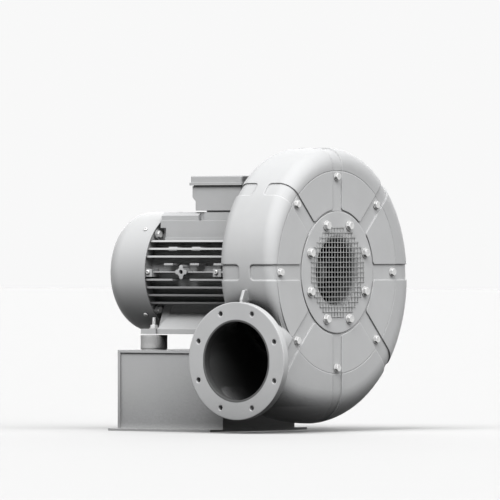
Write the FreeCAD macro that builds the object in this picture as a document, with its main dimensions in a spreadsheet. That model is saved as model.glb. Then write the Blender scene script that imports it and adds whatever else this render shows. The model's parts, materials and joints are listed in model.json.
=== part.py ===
import FreeCAD, Part
import math
import os
import re
import Sketcher

# A direct driven high pressure fan: a cast spiral casing on the flange of a foot mounted
# motor, which stands on four rubber buffers on a welded console.
# +X runs along the shaft towards the inlet, -Y towards the outlet and +Z up. The origin is on
# the floor, at the centre of the console's four floor holes. All lengths are in millimetres.

SIZES = {
    # Where things stand
    "shaft_height": 410,
    "casing_rear": 241,
    "joint_gap": 0.3,
    "running_gap": 0.05,
    # Spiral casing
    "casing_width": 175,
    "casing_wall": 8,
    "spiral_start_radius": 284,
    "spiral_growth": 35,
    "flat_start_radius": 254.5,
    "flat_growth": 16.5,
    "channel_depth": 3.5,
    "channel_width": 40,
    "channel_count": 8,
    "channel_corner": 10,
    "channel_rear_start": 186,
    "blank_band": 34,
    "cover_seat_inner": 232,
    "cover_seat_land": 9,
    "rear_boss_radius": 178,
    "rear_boss_depth": 6,
    "seal_seat_radius": 45,
    # Outlet
    "outlet_reach": 319,
    "outlet_drop": 225,
    "outlet_bore": 200,
    "outlet_flange_diameter": 300,
    "outlet_flange_thickness": 20,
    "outlet_hole_circle": 258,
    "outlet_hole": 13,
    "outlet_hole_count": 8,
    "duct_root_top": 60,
    "duct_root_length": 150,
    "duct_step": 1.5,
    "duct_flat": 2,
    "outlet_rib_thickness": 8,
    "outlet_rib_rise": 30,
    "outlet_rib_run": 30,
    # Front cover
    "cover_radius": 260,
    "cover_thickness": 10,
    "cover_gasket_thickness": 1,
    "cover_bolt_circle": 491,
    "cover_bolt": 10,
    "cover_bolt_head": 16,
    "cover_bolt_head_height": 6.4,
    "cover_bolt_washer": 21,
    "cover_bolt_washer_thickness": 2,
    "cover_bolt_length": 20,
    "panel_inner_radius": 161,
    "panel_corner": 8,
    "ring_seat_depth": 14,
    "ring_seat_wall": 8,
    "ring_seat_bore": 112,
    "ring_seat_land": 12,
    # Inlet ring with its bell mouth
    "ring_radius": 156,
    "throat_radius": 82,
    "bell_rounding": 18,
    "nozzle_wall": 5,
    "nozzle_length": 56,
    "ring_bolt_circle": 259,
    "ring_bolt_count": 8,
    "ring_bolt": 12,
    "ring_bolt_head": 18,
    "ring_bolt_head_height": 7.5,
    "ring_washer_diameter": 24,
    "ring_washer_thickness": 2.5,
    "ring_bolt_length": 22,
    "mesh_pitch": 12.7,
    "mesh_wire": 2,
    "mesh_radius": 115,
    # Impeller
    "impeller_radius": 225,
    "impeller_plate": 4,
    "impeller_rear_gap": 12,
    "impeller_rim_width": 44,
    "impeller_eye_width": 78,
    "eye_radius": 90,
    "shroud_thickness": 3,
    "blade_count": 12,
    "blade_thickness": 4,
    "blade_root_radius": 96,
    "blade_curve_radius": 190,
    "blade_centre_back": 136.8,
    "blade_centre_out": 79.8,
    "hub_radius": 38,
    "hub_flange_radius": 70,
    "hub_flange_thickness": 9,
    "hub_length": 84,
    "hub_rivet_circle": 112,
    "hub_rivet_count": 8,
    "hub_rivet": 8,
    "rivet_head": 12.8,
    "rivet_head_height": 3,
    # Shaft and its parts
    "shaft_end_radius": 21,
    "shaft_end_length": 110,
    "bearing_bore_radius": 22.5,
    "bearing_radius": 50,
    "bearing_width": 25,
    "bearing_ball": 17,
    "bearing_land": 4.76,
    "preload_thickness": 1.2,
    "bearing_ball_count": 8,
    "drive_bearing_place": 206,
    "fan_bearing_place": -110,
    "rotor_seat_radius": 30,
    "shaft_shoulder_radius": 26,
    "fan_seat_radius": 19,
    "shaft_fan_end": -166,
    "key_width": 12,
    "key_height": 8,
    "key_sink": 4.8,
    "key_length": 80,
    "end_washer_radius": 30,
    "end_washer_thickness": 6,
    "end_screw": 16,
    "end_screw_head": 24,
    "end_screw_head_height": 10,
    "seal_thickness": 8,
    # Motor core
    "stator_length": 160,
    "stator_place": -20,
    "stator_bore_radius": 66,
    "air_gap": 1,
    "frame_bore_radius": 110,
    "winding_reach": 32,
    "winding_inner": 72,
    "winding_outer": 101,
    "cage_ring_width": 12,
    "cage_ring_radius": 62,
    # Motor frame
    "frame_rear": -92,
    "frame_front": 190,
    "frame_core_radius": 119,
    "fin_radius": 149,
    "fin_pitch": 20,
    "star_room_drop": 26,
    "upper_room_bottom": 14,
    "upper_room_top": 28,
    "middle_room_half_height": 8,
    "fin_rows": 9,
    "fin_thickness": 5,
    "fin_pad_height": 10,
    "fin_pad_length": 28,
    "fin_pad_rear": -24,
    "fin_pad_front": 51,
    "barrel_pad_rear": -29,
    "barrel_pad_front": 55,
    "barrel_slot_height": 7,
    "barrel_slot_depth": 6,
    "middle_fin_thickness": 3,
    "middle_fin_setback": 6,
    "top_fin_pitch": 20,
    "top_fin_rows": 4,
    "lug_bottom": -12,
    "lug_top": 8,
    "lug_length": 25,
    "lug_reach": 150,
    "rear_lug_place": -92,
    "front_lug_place": 130,
    "lug_screw_setback": 11,
    "lug_screw_head": 12,
    "lug_screw_head_height": 5,
    "ear_circle": 276,
    "ear_radius": 12,
    "ear_length": 8,
    "shield_screw": 10,
    "shield_screw_head": 16,
    "shield_screw_head_height": 6.5,
    "shield_screw_length": 18,
    "star_place": 26,
    "star_reach": 152,
    "star_core_radius": 12,
    "star_lobe_radius": 6,
    "star_lobe_offset": 12.5,
    "star_hole": 12,
    "star_room_half_length": 28,
    # Motor end shields
    "flange_radius": 175,
    "flange_thickness": 20,
    "flange_bolt_circle": 300,
    "flange_bolt": 16,
    "flange_bolt_head": 24,
    "flange_bolt_head_height": 10,
    "flange_spigot_radius": 125,
    "flange_spigot": 5,
    "shield_rim_radius": 148,
    "shield_rim_length": 12,
    "shield_spigot": 10,
    "bearing_housing_wall": 12,
    "shaft_opening_radius": 24,
    # Cooling fan and cowl
    "cowl_radius": 156,
    "grille_inner_start": 31.2,
    "grille_inner_end": 56.16,
    "grille_outer_start": 65.52,
    "grille_outer_end": 99.84,
    "cowl_wall": 2.5,
    "cowl_rim": -86,
    "cowl_end": -222,
    "cowl_rounding": 50,
    "cowl_screw_setback": 30,
    "cowl_screw": 6,
    "cowl_screw_length": 12,
    "cowl_screw_head_height": 3.5,
    "cowl_lug_length": 20,
    "cowl_lug_width": 16,
    "fan_radius": 132,
    "fan_blade_count": 8,
    "fan_blade_width": 34,
    "fan_blade_thickness": 3,
    "fan_hub_radius": 32,
    "grille_slot": 6,
    "grille_inner_slots": 18,
    "grille_outer_slots": 30,
    # Terminal box
    "box_centre": 96,
    "box_length": 160,
    "box_depth": 178,
    "box_floor": 159,
    "box_top": 222,
    "box_wall": 5,
    "box_corner": 6,
    "box_step": 10,
    "box_step_top": 196,
    "box_step_bottom": 186,
    "lid_length": 172,
    "lid_depth": 190,
    "lid_height": 27,
    "lid_brim": 9,
    "lid_brim_width": 3,
    "lid_wall": 4,
    "lid_corner": 7,
    "lid_screw_sink": 5,
    "saddle_half_width": 97,
    "saddle_top": 155,
    "saddle_side_bottom": 88,
    "saddle_front": 176,
    "saddle_rear": -78,
    "saddle_lip": 4,
    "saddle_lip_height": 6,
    "saddle_tier": 4,
    "saddle_tier_height": 13,
    "saddle_roof_half_width": 80,
    "neck_rear": 60,
    "neck_half_width": 93,
    "neck_top_half_width": 82,
    "neck_notch": 19,
    "neck_notch_depth": 15,
    "ear_room_length": 17,
    "ear_room_top": 114,
    "ear_web_radius": 10,
    "entry_plug": 32,
    "entry_plug_spacing": 54,
    "entry_plug_reach": 12,
    "lid_screw": 5,
    "lid_screw_head": 8,
    "board_length": 90,
    "board_depth": 60,
    "board_height": 14,
    "terminal_stud": 6,
    "terminal_nut": 10.2,
    # Feet
    "foot_front": 133,
    "foot_rear": -77,
    "foot_half_width": 127,
    "foot_drop": 160,
    "foot_thickness": 13,
    "foot_pad_length": 48,
    "foot_pad_width": 50,
    "foot_hole": 15,
    "foot_flank_top": 106,
    "foot_seat_inner": 70,
    "foot_seat_top": 84,
    "foot_rib_width": 8,
    "foot_rib_rear": -76,
    "foot_flank_inner": 84,
    "foot_flank_outer": 145,
    # Rubber buffers
    "buffer_diameter": 70,
    "buffer_plate": 3,
    "buffer_stud": 10,
    "buffer_stud_rise": 42,
    "buffer_stud_drop": 22,
    "nut_width": 17,
    "nut_height": 8,
    "nut_washer": 24,
    "nut_washer_thickness": 2.5,
    # Console
    "console_length": 340,
    "console_width": 320,
    "console_height": 208,
    "console_top": 7,
    "console_plate": 5,
    "console_overhang": 3.5,
    "console_end_plate": 8,
    "floor_flange": 52,
    "floor_flange_thickness": 6,
    "floor_hole": 14,
    "floor_hole_spacing_along": 260,
    "floor_hole_spacing_across": 376,
}

doc = FreeCAD.newDocument("high_pressure_fan")
sheet = doc.addObject("Spreadsheet::Sheet", "sizes")
for row, (alias, number) in enumerate(SIZES.items(), start=1):
    sheet.set("A%d" % row, alias)
    sheet.set("B%d" % row, str(number))
    sheet.setAlias("B%d" % row, alias)
doc.recompute()

pieces = []
V = FreeCAD.Vector
ALONG_SHAFT = V(1, 0, 0)


def formula(text):
    """The text with every name of a size pointed at its cell in the sheet."""
    return re.sub(r"[a-z_]+", lambda word: "sizes." + word[0] if word[0] in SIZES else word[0], str(text))


def value(text):
    """The number that a formula comes to."""
    return float(sheet.evalExpression(formula(text)))


def new_body(name, up="shaft_height", along="0", across="0"):
    """An empty body whose origin lies at a place worked out from the sizes."""
    body = doc.addObject("PartDesign::Body", name)
    body.Label = name
    body.setExpression("Placement.Base.x", formula(along))
    body.setExpression("Placement.Base.y", formula(across))
    body.setExpression("Placement.Base.z", formula(up))
    pieces.append(body)
    return body


def turn_about_shaft(body, angle):
    place = body.Placement
    place.Rotation = FreeCAD.Rotation(ALONG_SHAFT, angle)
    body.Placement = place


def origin_part(body, role):
    return [part for part in body.Origin.OriginFeatures if part.Role == role][0]


def new_sketch(body, plane, lift="0"):
    """A sketch on an origin plane of the body, raised along the plane's normal."""
    drawing = body.newObject("Sketcher::SketchObject", body.Label + "_sketch")
    drawing.AttachmentSupport = [(origin_part(body, plane), "")]
    drawing.MapMode = "FlatFace"
    drawing.setExpression("AttachmentOffset.Base.z", formula(lift))
    return drawing


def constrain(drawing, kind, item, point, text):
    place = drawing.addConstraint(Sketcher.Constraint(kind, item, point, value(text)))
    drawing.setExpression("Constraints[%d]" % place, formula(text))


def draw_corners(drawing, corners):
    """A closed outline of straight lines, each corner held by two formulas."""
    first = drawing.GeometryCount
    count = len(corners)
    points = [V(value(across), value(up), 0) for across, up in corners]
    for index in range(count):
        drawing.addGeometry(Part.LineSegment(points[index], points[(index + 1) % count]))
    for index, (across, up) in enumerate(corners):
        following = first + (index + 1) % count
        drawing.addConstraint(Sketcher.Constraint("Coincident", first + index, 2, following, 1))
        constrain(drawing, "DistanceX", first + index, 1, across)
        constrain(drawing, "DistanceY", first + index, 1, up)


def draw_circle(drawing, across, up, radius):
    item = drawing.addGeometry(Part.Circle(V(value(across), value(up), 0), V(0, 0, 1), value(radius)))
    constrain(drawing, "DistanceX", item, 3, across)
    constrain(drawing, "DistanceY", item, 3, up)
    place = drawing.addConstraint(Sketcher.Constraint("Radius", item, value(radius)))
    drawing.setExpression("Constraints[%d]" % place, formula(radius))


def draw(drawing, loops):
    """Draws each loop: a list of corners, or a circle as (across, up, radius)."""
    for loop in loops:
        if isinstance(loop, tuple):
            draw_circle(drawing, *loop)
        else:
            draw_corners(drawing, loop)


def box_loop(left, right, bottom, top):
    return [(left, bottom), (right, bottom), (right, top), (left, top)]


def turn(body, corners, kind="PartDesign::Revolution"):
    """Turns an outline, given as (along the shaft, radius), round the shaft axis."""
    drawing = new_sketch(body, "XY_Plane")
    draw_corners(drawing, corners)
    feature = body.newObject(kind, body.Label + "_turned")
    feature.Profile = drawing
    feature.ReferenceAxis = (drawing, ["H_Axis"])
    feature.Angle = 360
    return feature


def turn_away(body, corners):
    return turn(body, corners, "PartDesign::Groove")


def pad(body, plane, lift, length, loops):
    """Adds material from the lift on along the plane's normal."""
    drawing = new_sketch(body, plane, lift)
    draw(drawing, loops)
    feature = body.newObject("PartDesign::Pad", body.Label + "_pad")
    feature.Profile = drawing
    feature.setExpression("Length", formula(length))
    return feature


def cut(body, plane, lift, length, loops):
    """Takes material away from the lift on along the plane's normal."""
    drawing = new_sketch(body, plane, lift)
    draw(drawing, loops)
    feature = body.newObject("PartDesign::Pocket", body.Label + "_cut")
    feature.Profile = drawing
    feature.Reversed = True
    feature.setExpression("Length", formula(length))
    return feature


def across_frame(kind, reach, loops):
    """Pads or cuts loops right through the motor frame from side to side; its bore is cleared later."""
    return kind(motor_frame, "XZ_Plane", "-" + reach, "2 * " + reach, loops)


def repeat_round(body, features, count, axis="X_Axis"):
    pattern = body.newObject("PartDesign::PolarPattern", body.Label + "_ring")
    pattern.Originals = features
    pattern.Axis = (origin_part(body, axis), [""])
    pattern.Angle = 360
    pattern.setExpression("Occurrences", formula(count))
    body.Tip = pattern
    return pattern


def repeat_along(body, features, axis, pitch, count):
    pattern = body.newObject("PartDesign::LinearPattern", body.Label + "_row")
    pattern.Originals = features
    pattern.Direction = (origin_part(body, axis), [""])
    pattern.setExpression("Length", formula("(%s) * ((%s) - 1)" % (pitch, count)))
    pattern.setExpression("Occurrences", formula(count))
    body.Tip = pattern
    return pattern


def mirror(body, features, planes):
    """Repeats features across one or two origin planes of the body."""
    transform = body.newObject("PartDesign::MultiTransform", body.Label + "_pair")
    steps = []
    for plane in planes:
        step = doc.addObject("PartDesign::Mirrored", body.Label + "_mirror")
        step.MirrorPlane = (origin_part(body, plane), [""])
        body.addObject(step)
        steps.append(step)
    transform.Originals = features
    transform.Transformations = steps
    body.Tip = transform
    return transform


def round_edges(body, radius, wanted, kind="PartDesign::Fillet"):
    """Rounds the edges of the body so far that the test picks."""
    doc.recompute()
    base = body.Tip
    names = ["Edge%d" % (index + 1) for index, edge in enumerate(base.Shape.Edges) if wanted(edge)]
    if not names:
        raise ValueError("no edge to round on " + body.Label)
    feature = body.newObject(kind, body.Label + "_rounding")
    feature.Base = (base, names)
    feature.setExpression("Radius" if kind == "PartDesign::Fillet" else "Size", formula(radius))
    return feature


def is_straight(edge, direction):
    """True for a straight edge along a direction, in the body's own frame."""
    if not isinstance(edge.Curve, Part.Line):
        return False
    return abs(abs(edge.Curve.Direction.dot(V(*direction))) - 1) < 1e-6


def is_circle(edge, along, radius, slack=0.01):
    """True for a circle round the shaft axis at a place along it, with a radius."""
    if not isinstance(edge.Curve, Part.Circle) or abs(abs(edge.Curve.Axis.x) - 1) > 1e-6:
        return False
    return abs(edge.Curve.Center.x - along) < slack and abs(edge.Curve.Radius - radius) < slack


def new_feature(name, shape, up="0"):
    """A piece whose shape is made by Part's own functions."""
    feature = doc.addObject("Part::Feature", name)
    feature.Label = name
    feature.Shape = shape
    feature.Placement = FreeCAD.Placement(V(0, 0, value(up)), FreeCAD.Rotation())
    pieces.append(feature)
    return feature


def on_circle(circle, angle):
    """The two coordinates, as formulas, of a place on a hole circle of a given diameter."""
    return "(%s) / 2 * cos(%s)" % (circle, angle), "(%s) / 2 * sin(%s)" % (circle, angle)


def hexagon(across, up, width):
    """The corners of a hexagon with a given width across its flats."""
    reach = "(%s) / 2 / cos(30)" % width
    return [("%s + %s * cos(%d)" % (across, reach, angle), "%s + %s * sin(%d)" % (up, reach, angle))
            for angle in range(0, 360, 60)]


# Spiral casing

def spiral_section(angle, inset):
    """The casing's rounded profile in the half plane at an angle from the outlet side."""
    outer = value("spiral_start_radius") + value("spiral_growth") * angle / 90
    flat = value("flat_start_radius") + value("flat_growth") * angle / 90
    widest_shoulder = value("casing_width") / 2 - 1
    shoulder = min(outer - flat, widest_shoulder)
    flat = outer - shoulder
    outer -= inset
    shoulder -= inset
    rear = value("casing_rear") + inset
    front = value("casing_rear + casing_width") - inset
    diagonal = shoulder * (1 - math.sqrt(0.5))
    rear_arc = Part.Arc(V(rear, -flat, 0), V(rear + diagonal, -outer + diagonal, 0),
                        V(rear + shoulder, -outer, 0)).toShape()
    side = Part.LineSegment(V(rear + shoulder, -outer, 0), V(front - shoulder, -outer, 0)).toShape()
    front_arc = Part.Arc(V(front - shoulder, -outer, 0), V(front - diagonal, -outer + diagonal, 0),
                         V(front, -flat, 0)).toShape()
    profile = Part.Wire([rear_arc, side, front_arc])
    profile.rotate(V(0, 0, 0), ALONG_SHAFT, -angle)
    return profile


def solid_from(faces):
    shell = Part.makeShell(faces)
    shell.sewShape()
    solid = Part.Solid(shell)
    if solid.Volume < 0:
        solid.reverse()
    return solid


def straight(start, end):
    return Part.LineSegment(start, end).toShape()


def rim_at(skin, side):
    """The long edge of a lofted skin that lies in the plane of one side of the casing."""
    return [edge for edge in skin.Edges if abs(edge.BoundBox.XMin - side) < 1e-3
            and abs(edge.BoundBox.XMax - side) < 1e-3 and edge.BoundBox.YLength > 1][0]


def casing_sides(inset):
    return value("casing_rear") + inset, value("casing_rear + casing_width") - inset


def spiral_solid(inset):
    """One turn of the spiral as a solid, from straight below the shaft round to there again."""
    steps = 16
    sections = [spiral_section(-90 + 360 * step / steps, inset) for step in range(steps + 1)]
    skin = Part.makeLoft(sections, False, False)
    faces = list(skin.Faces)
    step_edges = list(sections[0].Edges) + list(sections[-1].Edges)
    for side in casing_sides(inset):
        rim = rim_at(skin, side)
        closing = straight(rim.Vertexes[0].Point, rim.Vertexes[-1].Point)
        faces.append(Part.Face(Part.Wire([rim, closing])))
        step_edges.append(closing)
    faces.append(Part.Face(Part.Wire(Part.__sortEdges__(step_edges))))
    return solid_from(faces)


def duct_end():
    """The duct's outer radius at the flange, a small step wider than the bore and its wall."""
    return value("outlet_bore / 2 + casing_wall + duct_step")


def duct_bottom(reach):
    """The height of the duct's underside: tangent to the spiral, rising towards the flange."""
    deepest = value("spiral_start_radius + 3 * spiral_growth")
    rise = deepest - value("outlet_drop") - duct_end()
    return rise * (reach / value("outlet_reach - outlet_flange_thickness")) ** 2 - deepest


def duct_share(reach):
    """How far along the duct's mouth part a place lies: 0 where it starts, 1 at the flange."""
    run = value("outlet_reach - outlet_flange_thickness - duct_root_length")
    return max(0, reach - value("duct_root_length")) / run


def duct_corner(reach):
    root = value("spiral_start_radius + 3 * spiral_growth - flat_start_radius - 3 * flat_growth")
    return root + (duct_end() - value("duct_flat / 2") - root) * duct_share(reach) ** 2


def duct_root(inset):
    """The part of the duct that keeps the casing's width and leaves the spiral in line."""
    rear, front = casing_sides(inset)
    top = -value("duct_root_top") - inset
    length = value("duct_root_length")
    sections = []
    for step in range(4):
        reach = length * step / 3
        bottom = duct_bottom(reach) + inset
        corner = duct_corner(reach) - inset
        diagonal = corner * (1 - math.sqrt(0.5))
        rear_arc = Part.Arc(V(rear, -reach, bottom + corner), V(rear + diagonal, -reach, bottom + diagonal),
                            V(rear + corner, -reach, bottom)).toShape()
        underside = straight(V(rear + corner, -reach, bottom), V(front - corner, -reach, bottom))
        front_arc = Part.Arc(V(front - corner, -reach, bottom),
                             V(front - diagonal, -reach, bottom + diagonal),
                             V(front, -reach, bottom + corner)).toShape()
        sections.append(Part.Wire([rear_arc, underside, front_arc]))
    skin = Part.makeLoft(sections, False, False)
    faces = list(skin.Faces)
    end_edges = [list(sections[0].Edges), list(sections[-1].Edges)]
    roof = []
    for side in (rear, front):
        rim = rim_at(skin, side)
        posts = []
        for point in (rim.Vertexes[0].Point, rim.Vertexes[-1].Point):
            posts.append(straight(point, V(side, point.y, top)))
        posts.sort(key=lambda post: -post.BoundBox.YMax)
        ridge = straight(V(side, 0, top), V(side, -length, top))
        faces.append(Part.Face(Part.Wire(Part.__sortEdges__([rim, ridge] + posts))))
        roof.append(ridge)
        for edges, post in zip(end_edges, posts):
            edges.append(post)
    for edges, reach in zip(end_edges, (0, length)):
        beam = straight(V(rear, -reach, top), V(front, -reach, top))
        edges.append(beam)
        roof.append(beam)
        faces.append(Part.Face(Part.Wire(Part.__sortEdges__(edges))))
    faces.append(Part.Face(Part.Wire(Part.__sortEdges__(roof))))
    return solid_from(faces)


def duct_section(reach, inset):
    """The outline of the duct's mouth part, from a rounded oblong to the round of the flange."""
    share = duct_share(reach)
    half = value("casing_width") / 2
    end = duct_end()
    half_width = half + (end - half) * share ** 2 - inset
    bottom = duct_bottom(reach) + inset
    corner = duct_corner(reach) - inset
    root_top = value("duct_root_top") + value("casing_wall")
    top = -root_top - (value("outlet_drop") - end - root_top) * share ** 0.7 - inset
    middle = value("casing_rear") + half
    arcs = []
    for index, (side, rise) in enumerate([(1, 1), (-1, 1), (-1, -1), (1, -1)]):
        centre = V(middle + side * (half_width - corner), -reach,
                   top - corner if rise > 0 else bottom + corner)
        points = []
        for bend in (90 * index, 90 * index + 45, 90 * index + 90):
            bend = math.radians(bend)
            points.append(centre + V(corner * math.cos(bend), 0, corner * math.sin(bend)))
        arcs.append(Part.Arc(*points).toShape())
    edges = []
    for index, arc in enumerate(arcs):
        following = arcs[(index + 1) % 4]
        edges.append(arc)
        edges.append(straight(arc.valueAt(arc.LastParameter), following.valueAt(following.FirstParameter)))
    return Part.Wire(edges)


def duct_mouth(inset):
    start = value("duct_root_length")
    length = value("outlet_reach - outlet_flange_thickness") - start
    steps = 4
    sections = [duct_section(start + length * step / steps, inset) for step in range(steps + 1)]
    return Part.makeLoft(sections, True, False)


def casing_form(inset):
    """The spiral and its duct as one solid, drawn in from the outer skin by an inset."""
    return spiral_solid(inset).fuse(duct_root(inset)).fuse(duct_mouth(inset))


def cylinder(radius, start, end, axis=ALONG_SHAFT, centre=V(0, 0, 0)):
    return Part.makeCylinder(radius, end - start, centre + axis * start, axis)


def channel_slabs():
    """Blocks that mark the channels on the front and on the rear half of the casing."""
    width = value("channel_width")
    middle = value("casing_rear + casing_width / 2")
    far = value("casing_width")
    reach = value("spiral_start_radius + 5 * spiral_growth")
    slabs = []
    for side, start in ((1, value("ring_radius + joint_gap")), (-1, value("channel_rear_start"))):
        near = middle + side * value("blank_band / 2")
        low = min(near, near + side * far)
        block = Part.makeBox(far, reach - start, width, V(low, start, -width / 2))
        band_edges = [edge for edge in block.Edges
                      if abs(edge.BoundBox.XMin - near) < 1e-3 and edge.BoundBox.YLength > width]
        block = block.makeFillet(value("channel_corner"), band_edges)
        for turn_index in range(int(value("channel_count"))):
            slab = block.copy()
            slab.rotate(V(0, 0, 0), ALONG_SHAFT, 360 * turn_index / value("channel_count"))
            slabs.append(slab)
    return slabs


def outlet_rib():
    """A small rib in the casing's middle plane that stiffens the flange."""
    flange_back = value("outlet_reach - outlet_flange_thickness")
    flange_top = value("outlet_flange_diameter / 2 - outlet_drop")
    rise = value("outlet_rib_rise")
    run = value("outlet_rib_run")
    corners = [V(0, -flange_back, flange_top + rise * 0.2), V(0, -flange_back + run * 0.4, flange_top + rise),
               V(0, -flange_back + run * 1.6, flange_top + rise),
               V(0, -flange_back + run * 1.6, flange_top - rise),
               V(0, -flange_back, flange_top - rise)]
    thickness = value("outlet_rib_thickness")
    rib = Part.Face(Part.makePolygon(corners + corners[:1])).extrude(V(thickness, 0, 0))
    rib.translate(V(value("casing_rear + casing_width / 2") - thickness / 2, 0, 0))
    return rib


def volute_casing():
    rear = value("casing_rear")
    front = rear + value("casing_width")
    middle = (rear + front) / 2
    wall = value("casing_wall")
    seat = front - value("cover_thickness + cover_gasket_thickness")
    outlet_axis = V(0, -1, 0)
    outlet_centre = V(middle, 0, -value("outlet_drop"))
    flange_back = value("outlet_reach - outlet_flange_thickness")
    reach = value("outlet_reach")
    casing = casing_form(0)
    casing = casing.cut(Part.Compound(channel_slabs()).cut(casing_form(value("channel_depth"))))
    casing = casing.fuse(outlet_rib())
    casing = casing.fuse(cylinder(value("outlet_flange_diameter / 2"), flange_back, reach, outlet_axis,
                                  outlet_centre))
    casing = casing.cut(casing_form(wall))
    inner_rear = rear + wall
    inner_front = front - wall
    land = value("cover_radius + cover_seat_land")
    rings = [cylinder(value("rear_boss_radius"), inner_rear, inner_rear + value("rear_boss_depth")),
             cylinder(land, seat - wall, inner_front)]
    casing = casing.fuse(rings)
    cuts = [cylinder(value("outlet_bore / 2"), flange_back - 1, reach + 1, outlet_axis, outlet_centre),
            cylinder(value("cover_seat_inner"), seat - wall, front + 1),
            cylinder(value("cover_radius + joint_gap"), seat, front + 1),
            cylinder(value("flange_spigot_radius + joint_gap"), rear - 1,
                     rear + value("flange_spigot + joint_gap")),
            cylinder(value("seal_seat_radius"), rear - 1, inner_rear + value("rear_boss_depth") + 1)]
    for index in range(int(value("channel_count"))):
        place = V(0, value("cover_bolt_circle / 2"), 0)
        hole = cylinder(value("cover_bolt / 2"), seat - wall - 1, seat + 1, centre=place)
        hole.rotate(V(0, 0, 0), ALONG_SHAFT, 360 * index / value("channel_count"))
        cuts.append(hole)
    for index in range(4):
        place = V(0, value("flange_bolt_circle / 2"), 0)
        hole = cylinder(value("flange_bolt / 2"), rear - 1, inner_rear + value("rear_boss_depth") + 1,
                        centre=place)
        hole.rotate(V(0, 0, 0), ALONG_SHAFT, 45 + 90 * index)
        cuts.append(hole)
    count = int(value("outlet_hole_count"))
    for index in range(count):
        angle = math.radians(360 * (index + 0.5) / count)
        circle = value("outlet_hole_circle / 2")
        place = outlet_centre + V(circle * math.cos(angle), 0, circle * math.sin(angle))
        cuts.append(cylinder(value("outlet_hole / 2"), flange_back - 1, reach + 1, outlet_axis, place))
    casing = casing.cut(cuts)
    new_feature("volute_casing", casing.removeSplitter().Solids[0], "shaft_height")


volute_casing()

# Front cover, its gasket and its bolts

FRONT = "(casing_rear + casing_width)"
COVER_BACK = FRONT + " - cover_thickness"
RING_SEAT = FRONT + " - ring_seat_depth"
PANEL_FLOOR = FRONT + " - channel_depth"

front_cover = new_body("front_cover")
turn(front_cover, [
    (COVER_BACK, "cover_radius"),
    (FRONT, "cover_radius"),
    (FRONT, "panel_inner_radius"),
    (PANEL_FLOOR, "panel_inner_radius"),
    (PANEL_FLOOR, "ring_radius + joint_gap"),
    (RING_SEAT, "ring_radius + joint_gap"),
    (RING_SEAT, "ring_seat_bore"),
    (RING_SEAT + " - ring_seat_wall", "ring_seat_bore"),
    (RING_SEAT + " - ring_seat_wall", "ring_radius + ring_seat_land"),
    (COVER_BACK, "ring_radius + ring_seat_land"),
])
channel = cut(front_cover, "YZ_Plane", PANEL_FLOOR, "channel_depth + 1",
              [box_loop("ring_radius", "cover_radius + 1", "-channel_width / 2", "channel_width / 2")])
repeat_round(front_cover, [channel], "channel_count")
round_edges(front_cover, "panel_corner",
            lambda edge: is_straight(edge, (1, 0, 0)) and edge.BoundBox.XMax > value(FRONT) - 0.01
            and math.hypot(edge.CenterOfMass.y, edge.CenterOfMass.z) < value("panel_inner_radius + 1"))
cover_hole = cut(front_cover, "YZ_Plane", COVER_BACK + " - 1", "cover_thickness + 2",
                 [("cover_bolt_circle / 2", "0", "cover_bolt / 2 + 2 * joint_gap")])
repeat_round(front_cover, [cover_hole], "channel_count")
ring_thread = cut(front_cover, "YZ_Plane", RING_SEAT + " - ring_seat_wall - 1", "ring_seat_wall + 2",
                  [(*on_circle("ring_bolt_circle", "180 / ring_bolt_count"), "ring_bolt / 2")])
repeat_round(front_cover, [ring_thread], "ring_bolt_count")

cover_gasket = new_body("cover_gasket")
turn(cover_gasket, box_loop(COVER_BACK + " - cover_gasket_thickness", COVER_BACK,
                            "cover_seat_inner", "cover_radius"))
gasket_hole = cut(cover_gasket, "YZ_Plane", COVER_BACK + " - cover_gasket_thickness - 1",
                  "cover_gasket_thickness + 2",
                   [("cover_bolt_circle / 2", "0", "cover_bolt / 2 + 2 * joint_gap")])
repeat_round(cover_gasket, [gasket_hole], "channel_count")


def hex_screws(name, seat, size, across, up, count, axis="X_Axis", plane="YZ_Plane", body_up="shaft_height"):
    """A ring of hexagon head screws that point back from a seat, as separate solids."""
    body = new_body(name, body_up)
    features = []
    features.append(pad(body, plane, "%s - %s" % (seat, size["length"]), size["length"],
                        [(across, up, size["diameter"] + " / 2")]))
    if "washer" in size:
        features.append(pad(body, plane, seat, size["washer_thickness"],
                            [(across, up, size["washer"] + " / 2")]))
        seat = "%s + %s" % (seat, size["washer_thickness"])
    features.append(pad(body, plane, seat, size["head_height"], [hexagon(across, up, size["head"])]))
    repeat_round(body, features, count, axis)
    return body


hex_screws("cover_bolts", PANEL_FLOOR, {
    "diameter": "(cover_bolt - joint_gap)", "length": "cover_bolt_length",
    "washer": "cover_bolt_washer", "washer_thickness": "cover_bolt_washer_thickness",
    "head": "cover_bolt_head", "head_height": "cover_bolt_head_height",
}, "cover_bolt_circle / 2", "0", "channel_count")

# Inlet ring with its bell mouth, its bolts, its washers and its guard mesh

inlet_ring = new_body("inlet_ring")
turn(inlet_ring, [
    (RING_SEAT, "ring_radius"),
    (FRONT, "ring_radius"),
    (FRONT, "throat_radius"),
    (FRONT + " - nozzle_length", "throat_radius"),
    (FRONT + " - nozzle_length", "throat_radius + nozzle_wall / 2"),
    (RING_SEAT + " - ring_seat_wall", "throat_radius + nozzle_wall"),
    (RING_SEAT, "ring_seat_bore - joint_gap - nozzle_wall"),
])
round_edges(inlet_ring, "bell_rounding", lambda edge: is_circle(edge, value(FRONT), value("throat_radius")))
ring_hole = cut(inlet_ring, "YZ_Plane", RING_SEAT + " - 1", "ring_seat_depth + 2",
                [(*on_circle("ring_bolt_circle", "180 / ring_bolt_count"), "ring_bolt / 2 + 2 * joint_gap")])
repeat_round(inlet_ring, [ring_hole], "ring_bolt_count")

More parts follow.
